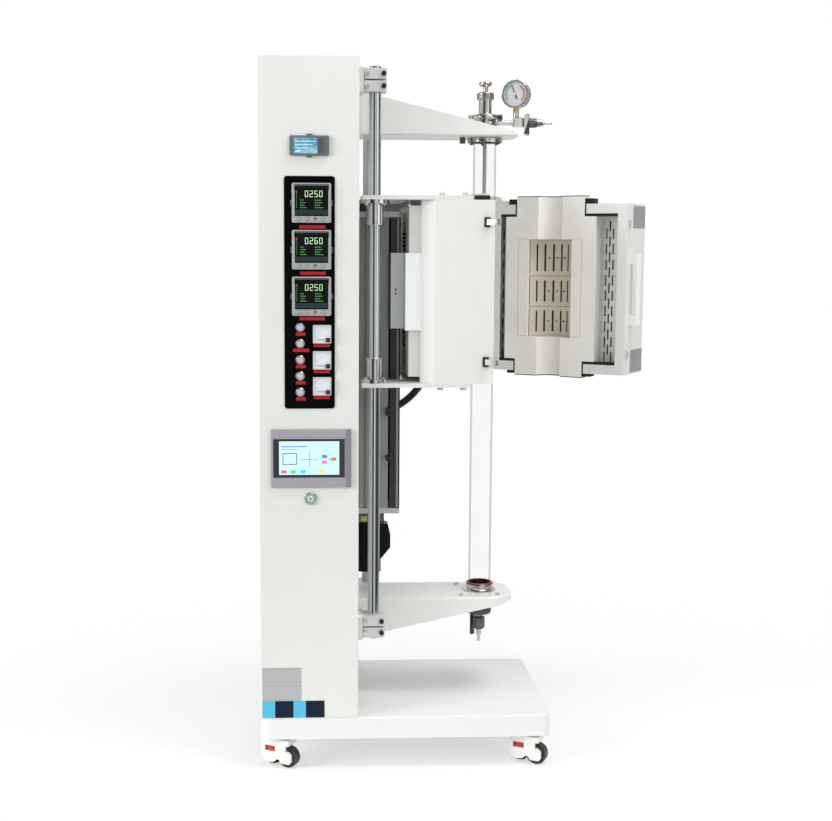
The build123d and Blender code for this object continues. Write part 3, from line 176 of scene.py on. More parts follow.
# Base: a welded tray of 3 mm sheet with rounded corners, powder coated white. It carries
# the column on the left and leaves a free deck under the furnace.
def surface_group():
    """Grain, soft patches and uneven gloss over a surface, shared by all the finishes."""
    group = bpy.data.node_groups.new("surface_life", "ShaderNodeTree")
    face = group.interface
    for socket, kind, value in (("Base", "NodeSocketColor", (0.8, 0.8, 0.8, 1)),
                                ("Mark", "NodeSocketColor", (0.5, 0.5, 0.5, 1)),
                                ("Stretch", "NodeSocketVector", (1, 1, 1)),
                                ("Grain Scale", "NodeSocketFloat", 500.0),
                                ("Patch Scale", "NodeSocketFloat", 6.0),
                                ("Amount", "NodeSocketFloat", 0.3),
                                ("Speckle", "NodeSocketFloat", 0.1),
                                ("Roughness", "NodeSocketFloat", 0.5),
                                ("Spread", "NodeSocketFloat", 0.1)):
        made = face.new_socket(name=socket, in_out="INPUT", socket_type=kind)
        made.default_value = value
    face.new_socket(name="Color", in_out="OUTPUT", socket_type="NodeSocketColor")
    face.new_socket(name="Roughness", in_out="OUTPUT", socket_type="NodeSocketFloat")
    face.new_socket(name="Height", in_out="OUTPUT", socket_type="NodeSocketFloat")
    given = group.nodes.new("NodeGroupInput")
    result = group.nodes.new("NodeGroupOutput")
    where = add_node(group, "TexCoord")
    stretched = add_node(group, "VectorMath", operation="MULTIPLY")
    grain = add_node(group, "TexNoise", (("Detail", 3.0),))
    patch = add_node(group, "TexNoise", (("Detail", 4.0), ("Roughness", 0.6)))
    sharpen = add_node(group, "MapRange", (("From Min", 0.35), ("From Max", 0.72)))
    share = add_node(group, "Math", operation="MULTIPLY")
    specks = add_node(group, "Math", ((1, 0.5),), operation="SUBTRACT")
    speckled = add_node(group, "Math", operation="MULTIPLY_ADD", use_clamp=True)
    mixed = add_node(group, "Mix", data_type="RGBA")
    uneven = add_node(group, "Math", ((1, 0.5),), operation="SUBTRACT")
    gloss = add_node(group, "Math", operation="MULTIPLY_ADD", use_clamp=True)
    join(group, (where.outputs["Object"], stretched.inputs[0]), (given.outputs["Stretch"], stretched.inputs[1]),
         (stretched.outputs[0], grain.inputs["Vector"]), (given.outputs["Grain Scale"], grain.inputs["Scale"]),
         (where.outputs["Object"], patch.inputs["Vector"]), (given.outputs["Patch Scale"], patch.inputs["Scale"]),
         (patch.outputs["Fac"], sharpen.inputs["Value"]),
         (sharpen.outputs["Result"], share.inputs[0]), (given.outputs["Amount"], share.inputs[1]),
         (grain.outputs["Fac"], specks.inputs[0]),
         (specks.outputs[0], speckled.inputs[0]), (given.outputs["Speckle"], speckled.inputs[1]),
         (share.outputs[0], speckled.inputs[2]), (speckled.outputs[0], mixed.inputs["Factor"]),
         (given.outputs["Base"], mixed.inputs["A"]), (given.outputs["Mark"], mixed.inputs["B"]),
         (patch.outputs["Fac"], uneven.inputs[0]),
         (uneven.outputs[0], gloss.inputs[0]), (given.outputs["Spread"], gloss.inputs[1]),
         (given.outputs["Roughness"], gloss.inputs[2]),
         (mixed.outputs["Result"], result.inputs["Color"]), (gloss.outputs[0], result.inputs["Roughness"]),
         (grain.outputs["Fac"], result.inputs["Height"]))
    return group


surface_life = surface_group()


def finish(name, base, mark, roughness, metallic=0.0, grain=500.0, patch=6.0, amount=0.3, speckle=0.1,
           spread=0.15, stretch=(1, 1, 1), bump=0.0, depth=0.0002, coat=0.0, glow=0.0, shine=0.5):
    """A material whose colour and gloss vary over the piece; bump raises its grain."""
    material = bpy.data.materials.new(name)
    material.use_nodes = True
    tree = material.node_tree
    shader = tree.nodes["Principled BSDF"]
    life = add_node(tree, "Group", node_tree=surface_life)
    for socket, value in (("Base", (*base, 1)), ("Mark", (*mark, 1)), ("Stretch", stretch), ("Grain Scale", grain),
                          ("Patch Scale", patch), ("Amount", amount), ("Speckle", speckle),
                          ("Roughness", roughness), ("Spread", spread)):
        life.inputs[socket].default_value = value
    shader.inputs["Metallic"].default_value = metallic
    shader.inputs["Coat Weight"].default_value = coat
    shader.inputs["Specular IOR Level"].default_value = shine
    join(tree, (life.outputs["Color"], shader.inputs["Base Color"]),
         (life.outputs["Roughness"], shader.inputs["Roughness"]))
    if bump:
        relief = add_node(tree, "Bump", (("Strength", bump), ("Distance", depth)))
        join(tree, (life.outputs["Height"], relief.inputs["Height"]),
             (relief.outputs["Normal"], shader.inputs["Normal"]))
    if glow:
        join(tree, (life.outputs["Color"], shader.inputs["Emission Color"]))
        shader.inputs["Emission Strength"].default_value = glow
    return material


def dress(node, *materials):
    """Gives a solid its finish; the first one covers all its faces."""
    mesh = nodes[node].data
    mesh.materials.clear()
    for material in materials:
        mesh.materials.append(material)
    for face in mesh.polygons:
        face.material_index = 0


def mark_faces(node, index, test):
    """Puts the faces whose middle passes the test, in millimetres from the column's corner, on a finish."""
    mesh = nodes[node].data
    for face in mesh.polygons:
        x, y, z = (face.center - column_low) * 1000
        if test(x, y, z, face.normal):
            face.material_index = index


def powder_coat(name, base, mark, roughness, patch, amount=0.4, coat=0.15, shine=0.5):
    """Baked powder paint: a fine orange peel under a thin clear gloss."""
    return finish(name, base, mark, roughness, amount=amount, speckle=0.12, patch=patch, bump=0.12, depth=0.0001,
                  coat=coat, shine=shine)


white_coat = powder_coat("white_powder_coat", (0.80, 0.81, 0.80), (0.75, 0.76, 0.75), 0.38, 3.0, amount=0.35)
dress("base_frame", white_coat)


# Casters: levelling casters with a white moulded housing, a black nylon wheel, and a red
# thumb wheel that screws a rubber-faced foot down to the floor. Plates bolt them to the base.
housing_white = finish("caster_housing_white", (0.80, 0.80, 0.77), (0.70, 0.69, 0.65), 0.45, amount=0.3,
                       speckle=0.1, patch=20.0, bump=0.1)
wheel_nylon = finish("caster_wheel_nylon", (0.018, 0.018, 0.019), (0.07, 0.068, 0.065), 0.34, amount=0.5,
                     speckle=0.3, patch=40.0, bump=0.15)
thumb_red = finish("thumb_wheel_red", (0.62, 0.035, 0.025), (0.42, 0.02, 0.015), 0.35, amount=0.4, patch=50.0)
foot_rubber = finish("foot_rubber", (0.02, 0.02, 0.021), (0.09, 0.088, 0.085), 0.7, amount=0.6, speckle=0.4,
                     patch=50.0, bump=0.3)
for corner in ("front_left", "front_right", "rear_left", "rear_right"):
    dress("caster_housing_" + corner, housing_white)
    dress("caster_wheel_" + corner, wheel_nylon)
    dress("caster_thumb_" + corner, thumb_red)
    dress("caster_foot_" + corner, foot_rubber)

# Column: a tall folded shell of sheet steel with the same white coat, and a rear panel
# with two rows of cooling slots that closes it. It holds the controls and their wiring.
column_coat = powder_coat("column_powder_coat", (0.765, 0.77, 0.74), (0.70, 0.71, 0.685), 0.36, 1.6, coat=0.1,
                          shine=0.4)
dress("column_shell", column_coat)
dress("column_rear_panel", column_coat)

# Control panel: a black painted plate with rounded corners let into the column's front,
# behind the controllers, meters and push buttons.
panel_black = finish("panel_black", (0.0012, 0.0012, 0.0014), (0.005, 0.005, 0.0055), 0.45, amount=0.35,
                     speckle=0.2, patch=8.0, bump=0.1, depth=0.0001, shine=0.05)
dress("control_panel", panel_black)

# Instruments: moulded bezels for the controllers, recorder, meters and touch screen, with
# turned steel rings round the push buttons and the key switch, all on one panel.
bezel_grey = finish("bezel_grey", (0.37, 0.375, 0.365), (0.29, 0.295, 0.29), 0.5, amount=0.4, patch=20.0, bump=0.1)
recorder_green = finish("recorder_bezel", (0.125, 0.165, 0.165), (0.08, 0.11, 0.11), 0.5, amount=0.4, patch=20.0,
                        shine=0.3)
screen_mauve = finish("touch_screen_bezel", (0.36, 0.345, 0.375), (0.30, 0.29, 0.32), 0.45, amount=0.4, patch=12.0,
                      bump=0.1)
case_dark = finish("instrument_case", (0.05, 0.055, 0.06), (0.09, 0.095, 0.1), 0.55, amount=0.4, patch=15.0)
ring_steel = finish("ring_steel", (0.62, 0.60, 0.59), (0.48, 0.46, 0.45), 0.24, metallic=1.0, grain=900.0,
                    patch=60.0, amount=0.4, spread=0.2, bump=0.08)
meter_dark = finish("meter_case", (0.62, 0.64, 0.66), (0.52, 0.54, 0.56), 0.3, amount=0.4, patch=25.0)
dress("panel_instruments", bezel_grey, recorder_green, screen_mauve, case_dark, ring_steel, meter_dark)
mark_faces("panel_instruments", 1, lambda x, y, z, n: z > 1405)
mark_faces("panel_instruments", 2, lambda x, y, z, n: 590 < z < 750)
mark_faces("panel_instruments", 5, lambda x, y, z, n: x > 130 and 820 < z < 1010)
mark_faces("panel_instruments", 4, lambda x, y, z, n: (x < 120 and 820 < z < 1010) or z < 590)
mark_faces("panel_instruments", 3, lambda x, y, z, n: y > 0.5)


def at(x, y, z):
    """A place in millimetres from the column's lower front left corner, in metres."""
    return column_low + Vector((x, y, z)) / 1000


def new_piece(name, form, materials, body, turn=None):
    """A mesh piece that form fills and turn moves; it rides body, if one is given."""
    shape = bmesh.new()
    form(shape)
    bmesh.ops.recalc_face_normals(shape, faces=shape.faces)
    if turn is not None:
        bmesh.ops.transform(shape, matrix=turn, verts=shape.verts)
    mesh = bpy.data.meshes.new(name)
    shape.to_mesh(mesh)
    shape.free()
    for material in materials:
        mesh.materials.append(material)
    piece = bpy.data.objects.new(name, mesh)
    bpy.context.scene.collection.objects.link(piece)
    if body:
        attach(piece, body)
    return piece


def brick(shape, x0, x1, y0, y1, z0, z1, index=0, edge=0.0):
    """A box between two corners, with its edges rounded off by edge."""
    middle = at((x0 + x1) / 2, (y0 + y1) / 2, (z0 + z1) / 2)
    size = Matrix.Diagonal(((x1 - x0) / 1000, (y1 - y0) / 1000, (z1 - z0) / 1000, 1))
    made = bmesh.ops.create_cube(shape, size=1.0, matrix=Matrix.Translation(middle) @ size)
    faces = {f for v in made["verts"] for f in v.link_faces}
    for face in faces:
        face.material_index = index
    if edge:
        edges = {e for f in faces for e in f.edges}
        bmesh.ops.bevel(shape, geom=list(edges), offset=edge / 1000, affect="EDGES", segments=2, profile=0.5,
                        material=-1)


def puck(shape, x, y, z, radius, length, index=0, edge=0.0, sides=32):
    """A round piece that faces the viewer, centred on a place, with its rims rounded off by edge."""
    made = bmesh.ops.create_cone(shape, cap_ends=True, segments=sides, radius1=radius / 1000,
                                 radius2=radius / 1000, depth=length / 1000,
                                 matrix=Matrix.Translation(at(x, y, z)) @ Matrix.Rotation(-pi / 2, 4, "X"))
    faces = {f for v in made["verts"] for f in v.link_faces}
    for face in faces:
        face.material_index = index
    if edge:
        rims = {e for f in faces if len(f.verts) > 4 for e in f.edges}
        bmesh.ops.bevel(shape, geom=list(rims), offset=edge / 1000, affect="EDGES", segments=2, profile=0.5,
                        material=-1)


# Controllers: three square temperature controllers. A black glass window carries green
# figures, a slate band and a red lamp, above a row of four round keys.
controller_middle = 131.0
controller_heights = (1300.0, 1186.5, 1073.0)
window_black = finish("window_black", (0.002, 0.003, 0.003), (0.006, 0.008, 0.008), 0.16, amount=0.4, patch=30.0,
                      shine=0.15)
slate_band = finish("slate_band", (0.018, 0.033, 0.042), (0.03, 0.05, 0.06), 0.4, patch=60.0, shine=0.2)
figure_green = finish("figure_green", (0.10, 0.34, 0.10), (0.16, 0.42, 0.14), 0.4, patch=90.0, glow=0.35)
figure_white = finish("figure_white", (0.50, 0.72, 0.42), (0.62, 0.80, 0.56), 0.4, patch=90.0, glow=0.45)
figure_pale = finish("figure_pale", (0.62, 0.64, 0.60), (0.50, 0.52, 0.48), 0.4, patch=90.0)
lamp_red = finish("lamp_red", (0.42, 0.03, 0.05), (0.5, 0.06, 0.07), 0.3, patch=90.0, glow=0.2)
key_dark = finish("key_dark", (0.10, 0.11, 0.115), (0.16, 0.17, 0.175), 0.45, patch=60.0)
key_red = finish("key_red", (0.45, 0.13, 0.11), (0.55, 0.2, 0.17), 0.45, patch=60.0)
header_grey = finish("header_grey", (0.07, 0.08, 0.09), (0.12, 0.13, 0.14), 0.45, patch=60.0)
digit_bars = {"0": "abcdef", "2": "abged", "5": "afgcd", "6": "afgedc"}


def figures(shape, words, x, y, z, height, index):
    """Seven-bar figures on a face towards the viewer, from a left lower corner."""
    width = height * 0.5
    bar = height * 0.09
    half = height / 2
    for figure in words:
        bars = {"a": (x, x + width, z + height - bar, z + height),
                "b": (x + width - bar, x + width, z + half, z + height),
                "c": (x + width - bar, x + width, z, z + half), "d": (x, x + width, z, z + bar),
                "e": (x, x + bar, z, z + half), "f": (x, x + bar, z + half, z + height),
                "g": (x, x + width, z + half - bar / 2, z + half + bar / 2)}
        for bar_name in digit_bars[figure]:
            x0, x1, z0, z1 = bars[bar_name]
            brick(shape, x0, x1, y - 0.25, y, z0, z1, index)
        x += width * 1.5


def controller_face(z, big):
    """The front of one controller at a height, with its large figures."""
    def form(shape):
        x = controller_middle
        brick(shape, x - 41, x + 41, -8.9, -8.5, z - 32, z + 31.5, 0)
        brick(shape, x - 42, x + 42, -10.4, -9.9, z + 31.0, z + 41.0, 0)
        brick(shape, x - 42, x + 42, -10.5, -9.9, z + 41.2, z + 45.2, 6)
        brick(shape, x - 40.8, x + 40.8, -9.15, -8.9, z - 28.5, z - 16.5, 1)
        figures(shape, big, x - 16, -8.9, z + 14.0, 15.5, 8)
        for row, (left, right) in enumerate(((9, 16), (15, 19), (12, 14), (17, 21))):
            low = z + 5.6 - 6.0 * row
            for start, long in ((x - 27.0, left), (x + 8.5, right)):
                for i in range(int(long // 2.6)):
                    edge = start + 2.6 * i
                    brick(shape, edge, edge + 1.7, -9.1, -8.9, low, low + 2.3 - 0.9 * (i % 2), 2)
        puck(shape, x - 36.5, -9.0, z + 27.5, 2.0, 0.6, 4)
        for i in range(9):
            brick(shape, x - 37.0, x - 35.6, -9.1, -8.9, z - 12.0 + 4.4 * i, z - 10.2 + 4.4 * i, 2)
        for i in range(4):
            puck(shape, x - 30 + 19.4 * i, -11.05, z - 38.2, 3.9, 0.8, 6, 0.25)
            puck(shape, x - 30 + 19.4 * i, -11.5, z - 38.2, 2.5, 0.6, 7 if i == 2 else 3, 0.25)
        for side in (-1, 1):
            brick(shape, x + side * 50.0 - 1.6, x + side * 50.0 + 1.6, -6.0, -2.0, z - 7, z + 7, 5)
    return form


for number, (z, big) in enumerate(zip(controller_heights, ("0250", "0260", "0250"))):
    face = new_piece("controller_face_%d" % (number + 1), controller_face(z, big),
                     (window_black, slate_band, figure_green, figure_pale, lamp_red, key_dark, header_grey, key_red,
                      figure_white), "stand")

# Recorder: a small graphic recorder at the top, with a blue screen, a grey strip and four
# keys. Two black clips hold its bezel against the column.
screen_blue = finish("screen_blue", (0.05, 0.22, 0.34), (0.34, 0.60, 0.72), 0.25, amount=1.0, patch=34.0, glow=0.15,
                     coat=0.2)
screen_line = finish("screen_line", (0.55, 0.75, 0.85), (0.35, 0.6, 0.8), 0.3, patch=70.0, glow=0.3)


def recorder_face(shape):
    x, z = 126.0, 1438.0
    brick(shape, x - 38, x + 19.8, -7.6, -7.05, z - 19, z + 19, 0)
    brick(shape, x + 21, x + 34, -8.45, -8.0, z - 19, z + 19, 2)
    for i, level in enumerate((9, 1, -7)):
        brick(shape, x - 34, x + 16 - 9 * i, -7.8, -7.6, z + level, z + level + 1.4, 1)
    brick(shape, x - 34, x - 22, -7.8, -7.6, z - 15.5, z - 12, 1)
    for i in range(4):
        puck(shape, x + 38.5, -8.4, z + 14.5 - 9.6 * i, 2.4, 0.9, 3, 0.25, 20)
    for side in (-1, 1):
        brick(shape, x - 7, x + 7, -6.0, -0.1, z + side * 26.0 - 2.2, z + side * 26.0 + 2.2, 3, 0.6)


face = new_piece("recorder_face", recorder_face, (screen_blue, screen_line, header_grey, key_dark), "stand")

# Tag strips: blank red engraved plastic strips, glued on the panel under each controller,
# push button and meter.
strip_red = finish("tag_strip_red", (0.46, 0.012, 0.022), (0.33, 0.008, 0.015), 0.35, amount=0.45, patch=40.0,
                   shine=0.3)


def tag_strips(shape):
    places = [(x0, x1, z, 8.4) for x0, x1, z in ((101, 165, 1242.0), (103, 166, 1129.5), (101, 164, 1018.0))]
    for i in range(5):
        wide = i == 1
        places.append((85 if wide else 92, 125 if wide else 116, 980.0 - 40.2 * i, 8.4))
    places += [(136, 176, 951.5, 7.6), (136, 176, 887.0, 7.6), (136, 176, 822.5, 7.6)]
    for x0, x1, z, high in places:
        brick(shape, x0, x1, -3.0, -2.02, z - high / 2, z + high / 2, 0, 0.4)


strips = new_piece("tag_strips", tag_strips, (strip_red,), "stand")

# Push buttons: brushed steel caps in threaded rings. The first has a lit violet lens and
# the third a pink one.
cap_steel = finish("cap_steel", (0.86, 0.84, 0.83), (0.66, 0.64, 0.63), 0.3, metallic=0.7, grain=1500.0,
                   patch=120.0, amount=0.5, stretch=(1, 1, 8), bump=0.1)
cap_violet = finish("cap_violet", (0.36, 0.33, 0.66), (0.66, 0.64, 0.84), 0.25, patch=120.0, amount=0.9, glow=0.2)
cap_pink = finish("cap_pink", (0.80, 0.60, 0.62), (0.66, 0.48, 0.52), 0.3, metallic=0.4, patch=120.0, amount=0.6)
for number, cap in enumerate((cap_violet, cap_steel, cap_pink, cap_steel, cap_steel)):
    dress("push_button_%d" % (number + 1), cap)

# Panel meters: three square moving-coil meters. Each has a pale dial with an arc of marks
# and a black quarter that hides the pivot of its thin pointer.
meter_middle = 156.5
meter_heights = (980.0, 915.5, 851.0)
dial_pale = finish("dial_pale", (0.76, 0.79, 0.84), (0.69, 0.72, 0.77), 0.4, amount=0.4, patch=60.0)
dial_black = finish("dial_black", (0.02, 0.02, 0.022), (0.05, 0.05, 0.052), 0.35, amount=0.4, patch=60.0)


def meter_dial(z):
    """The card of one meter at a height, with eleven marks."""
    def form(shape):
        x = meter_middle
        brick(shape, x - 20.3, x + 20.3, -7.7, -7.5, z - 20.3, z + 20.3, 0)
        pivot_x, pivot_z = x + 13.5, z - 13.5
        for i in range(11):
            angle = radians(90 + 8.5 * i + 2)
            long = 3.4 if i % 5 == 0 else 2.0
            place = at(pivot_x + 26.5 * cos(angle), -7.8, pivot_z + 26.5 * sin(angle))
            mark = bmesh.ops.create_cube(shape, size=1.0, matrix=Matrix.Translation(place) @ Matrix.Rotation(
                -angle, 4, "Y") @ Matrix.Diagonal((long / 1000, 0.0002, 0.0005, 1)))
            for vertex in mark["verts"]:
                for near in vertex.link_faces:
                    near.material_index = 1
    return form


for number, z in enumerate(meter_heights):
    face = new_piece("meter_dial_%d" % (number + 1), meter_dial(z), (dial_pale, dial_black), "stand")
    corner = new_piece("meter_corner_%d" % (number + 1),
                       lambda shape, z=z: brick(shape, meter_middle + 9.0, meter_middle + 20.4, -11.2, -10.3,
                                                z - 20.4, z - 9.0, 0, 0.3), (dial_black,), "stand")
pointer_black = finish("pointer_black", (0.03, 0.03, 0.032), (0.09, 0.09, 0.092), 0.45, patch=120.0)
for number in range(3):
    dress("meter_pointer_%d" % (number + 1), pointer_black)

# Touch screen: a colour screen in a moulded bezel with a raised right edge. Its pale blue
# picture is a plain plant diagram of coloured blocks.
display_frame = finish("display_frame", (0.015, 0.016, 0.02), (0.035, 0.036, 0.04), 0.2, patch=20.0, coat=0.4)
display_pale = finish("display_pale", (0.46, 0.74, 0.84), (0.56, 0.82, 0.90), 0.25, amount=0.6, patch=7.0, glow=0.4)
blocks = [finish("block_" + name, base, mark, 0.3, patch=40.0, glow=0.2) for name, base, mark in (
    ("red", (0.75, 0.16, 0.12), (0.65, 0.12, 0.1)), ("green", (0.15, 0.60, 0.25), (0.1, 0.5, 0.2)),
    ("cyan", (0.10, 0.62, 0.72), (0.08, 0.52, 0.64)), ("yellow", (0.80, 0.72, 0.22), (0.7, 0.62, 0.15)),
    ("blue", (0.12, 0.24, 0.66), (0.1, 0.2, 0.55)), ("magenta", (0.66, 0.22, 0.55), (0.56, 0.18, 0.46)))]
bezel_edge = finish("bezel_edge", (0.23, 0.225, 0.25), (0.19, 0.18, 0.2), 0.45, patch=20.0)


def touch_face(shape):
    brick(shape, 35.5, 212.5, -6.9, -6.25, 622.5, 719.0, 0)
    brick(shape, 49.5, 199.0, -7.05, -6.9, 629.5, 713.5, 1)
    for x0, x1, z0, z1, index in ((54, 68, 633, 641, 2), (78, 91, 633, 641, 3), (102, 116, 633, 641, 4),
                                  (149, 163, 633, 641, 5), (155.5, 169, 671, 679.5, 6), (155.5, 169, 657, 665.5, 7),
                                  (179, 192, 664.5, 673, 2), (55, 120, 699, 701.5, 6), (55, 100, 693, 694.5, 6),
                                  (58, 92, 655, 657, 8), (58, 60, 655, 682, 8), (92, 94, 655, 682, 8),
                                  (58, 94, 682, 684, 8), (100, 146, 668, 669.2, 8), (125, 126.2, 648, 690, 8),
                                  (170, 179, 668, 669.2, 8), (110, 122, 674, 684, 1)):
        brick(shape, x0, x1, -7.2, -7.05, z0, z1, index)
    brick(shape, 217.0, 228.8, -9.2, -7.0, 597.5, 743.5, 9, 1.2)


face = new_piece("touch_screen_face", touch_face, (display_frame, display_pale, *blocks, header_grey, bezel_edge),
                 "stand")

# Key switch: a chromed ring with a green band round a pale barrel, and a dark key slot.
band_green = finish("band_green", (0.12, 0.50, 0.22), (0.08, 0.38, 0.16), 0.3, patch=90.0, coat=0.3)
barrel_pale = finish("barrel_pale", (0.74, 0.75, 0.74), (0.6, 0.61, 0.6), 0.28, metallic=0.3, patch=90.0)


def key_band(shape):
    """A flat ring, drawn inwards from its outer edge and thickened."""
    middle = at(127.5, -5.55, 568.0)
    outer, inner = 12.2, 9.3
    bmesh.ops.create_circle(shape, segments=48, radius=outer / 1000,
                            matrix=Matrix.Translation(middle) @ Matrix.Rotation(pi / 2, 4, "X"))
    drawn = bmesh.ops.extrude_edge_only(shape, edges=list(shape.edges))
    inner_edge = [v for v in drawn["geom"] if isinstance(v, bmesh.types.BMVert)]
    bmesh.ops.scale(shape, vec=(inner / outer, 1, inner / outer), verts=inner_edge,
                    space=Matrix.Translation(-middle))
    bmesh.ops.solidify(shape, geom=list(shape.faces), thickness=0.0004)


dress("key_switch_barrel", barrel_pale)
band = new_piece("key_switch_band", key_band, (band_green,), "stand")

# Blank plates: two grey plates and a strip of blue ones, glued to the lower left of the
# column, with nothing on them.
plate_grey = finish("blank_plate_grey", (0.50, 0.51, 0.52), (0.42, 0.43, 0.44), 0.4, metallic=0.3, grain=1200.0,
                    amount=0.4, patch=30.0, stretch=(1, 1, 6))
plate_edge = finish("blank_plate_edge", (0.30, 0.31, 0.32), (0.36, 0.37, 0.38), 0.45, patch=40.0)
plate_cyan = finish("blank_plate_cyan", (0.08, 0.50, 0.74), (0.06, 0.42, 0.64), 0.4, patch=40.0)
plate_navy = finish("blank_plate_navy", (0.004, 0.008, 0.03), (0.008, 0.014, 0.04), 0.4, patch=40.0, shine=0.2)


def blank_plates(shape):
    for z0, z1 in ((91.5, 132.5), (46.5, 89.5)):
        brick(shape, 4.5, 103.0, -0.9, -0.02, z0, z1, 0, 0.3)
        for low, high in ((z0 + 2.5, z0 + 3.4), (z1 - 3.4, z1 - 2.5)):
            brick(shape, 7.5, 100.0, -1.05, -0.9, low, high, 1)
    for x0, x1, index in ((4.0, 36.5, 2), (36.7, 83.0, 3), (83.2, 114.5, 2), (114.7, 162.0, 3)):
        brick(shape, x0, x1, -0.8, -0.02, 1.5, 45.5, index)


plates = new_piece("blank_plates", blank_plates, (plate_grey, plate_edge, plate_cyan, plate_navy), "stand")

# Guide rods: two hard chromed shafts, 30 mm thick, held at both ends by split aluminium
# blocks on plates screwed to the column.
rod_chrome = finish("rod_chrome", (0.62, 0.65, 0.66), (0.46, 0.49, 0.50), 0.085, metallic=1.0, grain=90.0,
                    patch=9.0, amount=0.35, speckle=0.12, spread=0.1, stretch=(30, 30, 0.7))
dress("guide_rods", rod_chrome)
block_aluminium = finish("clamp_aluminium", (0.74, 0.745, 0.735), (0.62, 0.625, 0.62), 0.38, metallic=0.25,
                         grain=700.0, patch=25.0, amount=0.4, stretch=(1, 1, 5), bump=0.1)
screw_black = finish("screw_black", (0.025, 0.025, 0.026), (0.08, 0.078, 0.075), 0.38, metallic=0.3, patch=90.0)
bolt_silver = finish("bolt_silver", (0.62, 0.62, 0.61), (0.5, 0.5, 0.49), 0.3, metallic=1.0, patch=90.0)
dress("rod_clamps", block_aluminium, screw_black, bolt_silver)
mark_faces("rod_clamps", 1, lambda x, y, z, n: x > 295 and (y < 40.9 or y > 459.1))
mark_faces("rod_clamps", 2, lambda x, y, z, n: x < 280 and (y < 40.9 or y > 459.1) and (z > 1560 or z < 260)
           and abs((z % 30) - (1616.5 % 30 if z > 1000 else 240.0 % 30)) < 8 and x > 261)


def socket_holes(shape):
    """A flat near-black hexagon in each black screw's head, painted shade for its socket's depth."""
    for y, side in ((40.0, -1), (460.0, 1)):
        for top in (1629.5, 253.0):
            for i in range(2):
                z = top - 30.0 * i - 13.0
                puck(shape, 309.0, y + side * 5.95, z, 3.1, 0.5, 0, 0.0, 6)


# The hexagons are painted darker than the screws: painted shade inside the sockets.
sockets = new_piece("clamp_screw_sockets", socket_holes, (finish("socket_painted_shade", (0.004, 0.004, 0.004),
                                                                 (0.02, 0.02, 0.02), 0.6, patch=90.0),), "stand")

# Lift module: a screw drive in a grey anodised extrusion. A slot in its side lets the
# slider out, a black channel covers the far side and cast plates close the ends.
module_grey = finish("module_grey", (0.28, 0.295, 0.285), (0.37, 0.385, 0.37), 0.42, metallic=0.2, grain=60.0,
                     patch=5.0, amount=0.5, speckle=0.45, stretch=(60, 60, 0.6))
module_end = finish("module_end_plate", (0.58, 0.60, 0.60), (0.50, 0.52, 0.52), 0.4, metallic=0.3, patch=20.0,
                    amount=0.4, bump=0.1)
module_black_and_groove_shade = finish("module_channel_black_and_groove_shade", (0.016, 0.016, 0.017), (0.05, 0.05, 0.052), 0.38, grain=60.0,
                      patch=6.0, amount=0.5, speckle=0.3, stretch=(60, 60, 0.6))
sensor_black = finish("sensor_black", (0.012, 0.012, 0.013), (0.05, 0.05, 0.05), 0.45, patch=60.0)
# The module's black serves the black channel and also the flat strip that paints the groove's shade.
dress("lift_module", module_grey, module_black_and_groove_shade, module_end, sensor_black)
mark_faces("lift_module", 1, lambda x, y, z, n: x > 335.9 or z > 1284.1)
mark_faces("lift_module", 2, lambda x, y, z, n: z <= 1284.1 and (z > 1269.5 or z < 510.5))
mark_faces("lift_module", 3, lambda x, y, z, n: y < 169.8 and 630 < z < 800)


def module_strips(shape):
    """The light edge strip, and a flat black strip of painted shade standing for the groove along the drive."""
    brick(shape, 352.5, 357.6, 169.2, 169.9, 512, 1268, 0)
    # The groove is a flat strip in the module's black: painted shade in place of its depth.
    brick(shape, 248.2, 256.0, 169.4, 169.95, 512, 1268, 1)


strips = new_piece("module_strips", module_strips, (module_grey, module_black_and_groove_shade), "stand")

# Lift motor: a black servo motor under the drive, with a brown-grey mounting flange, a
# blank yellow plate and a plug at its right.
motor_black = finish("motor_black", (0.002, 0.002, 0.0025), (0.008, 0.008, 0.009), 0.45, amount=0.5, patch=18.0,
                     bump=0.15, shine=0.15)
flange_brown = finish("motor_flange_brown", (0.22, 0.20, 0.175), (0.15, 0.14, 0.125), 0.4, metallic=0.6, patch=30.0,
                      amount=0.5)
plate_yellow = finish("motor_plate_yellow", (0.62, 0.56, 0.12), (0.5, 0.45, 0.1), 0.4, patch=60.0)
dress("lift_motor", motor_black, flange_brown)
mark_faces("lift_motor", 1, lambda x, y, z, n: 463.5 < z < 485.2)
plate = new_piece("motor_plate", lambda shape: brick(shape, 262, 279, 209.2, 209.9, 467, 480, 0, 0.2),
                  (plate_yellow,), "stand")

# Conduit: a black ribbed hose that carries the heater cables. It leaves a gland under the
# lower plate, runs behind the drive and ends in an elbow on the column.
hose_black = finish("hose_black", (0.016, 0.016, 0.017), (0.06, 0.06, 0.06), 0.48, amount=0.5, patch=30.0)
hose_radius = 10.5
hose_y = 364.0
hose_start = (445.0, 843.0)
hose_tilt, hose_lean = 25.0, 62.0
hose_bends = (172.0, 120.0)
elbow_top = 560.0


def hose_corners():
    """Where the hose starts, where its straight runs would meet, and where it ends."""
    def onward(point, angle, length):
        return (point[0] - length * sin(radians(angle)), point[1] - length * cos(radians(angle)))

    first = hose_bends[0] * tan(radians(hose_lean - hose_tilt) / 2)
    second = hose_bends[1] * tan(radians(hose_lean) / 2)
    start = onward(hose_start, hose_tilt, 5.0)
    bend_a = onward(start, hose_tilt, first + 1.0)
    bend_b = onward(bend_a, hose_lean, first + second + 1.0)
    return [start, bend_a, bend_b, (bend_b[0], elbow_top - 4.0)]


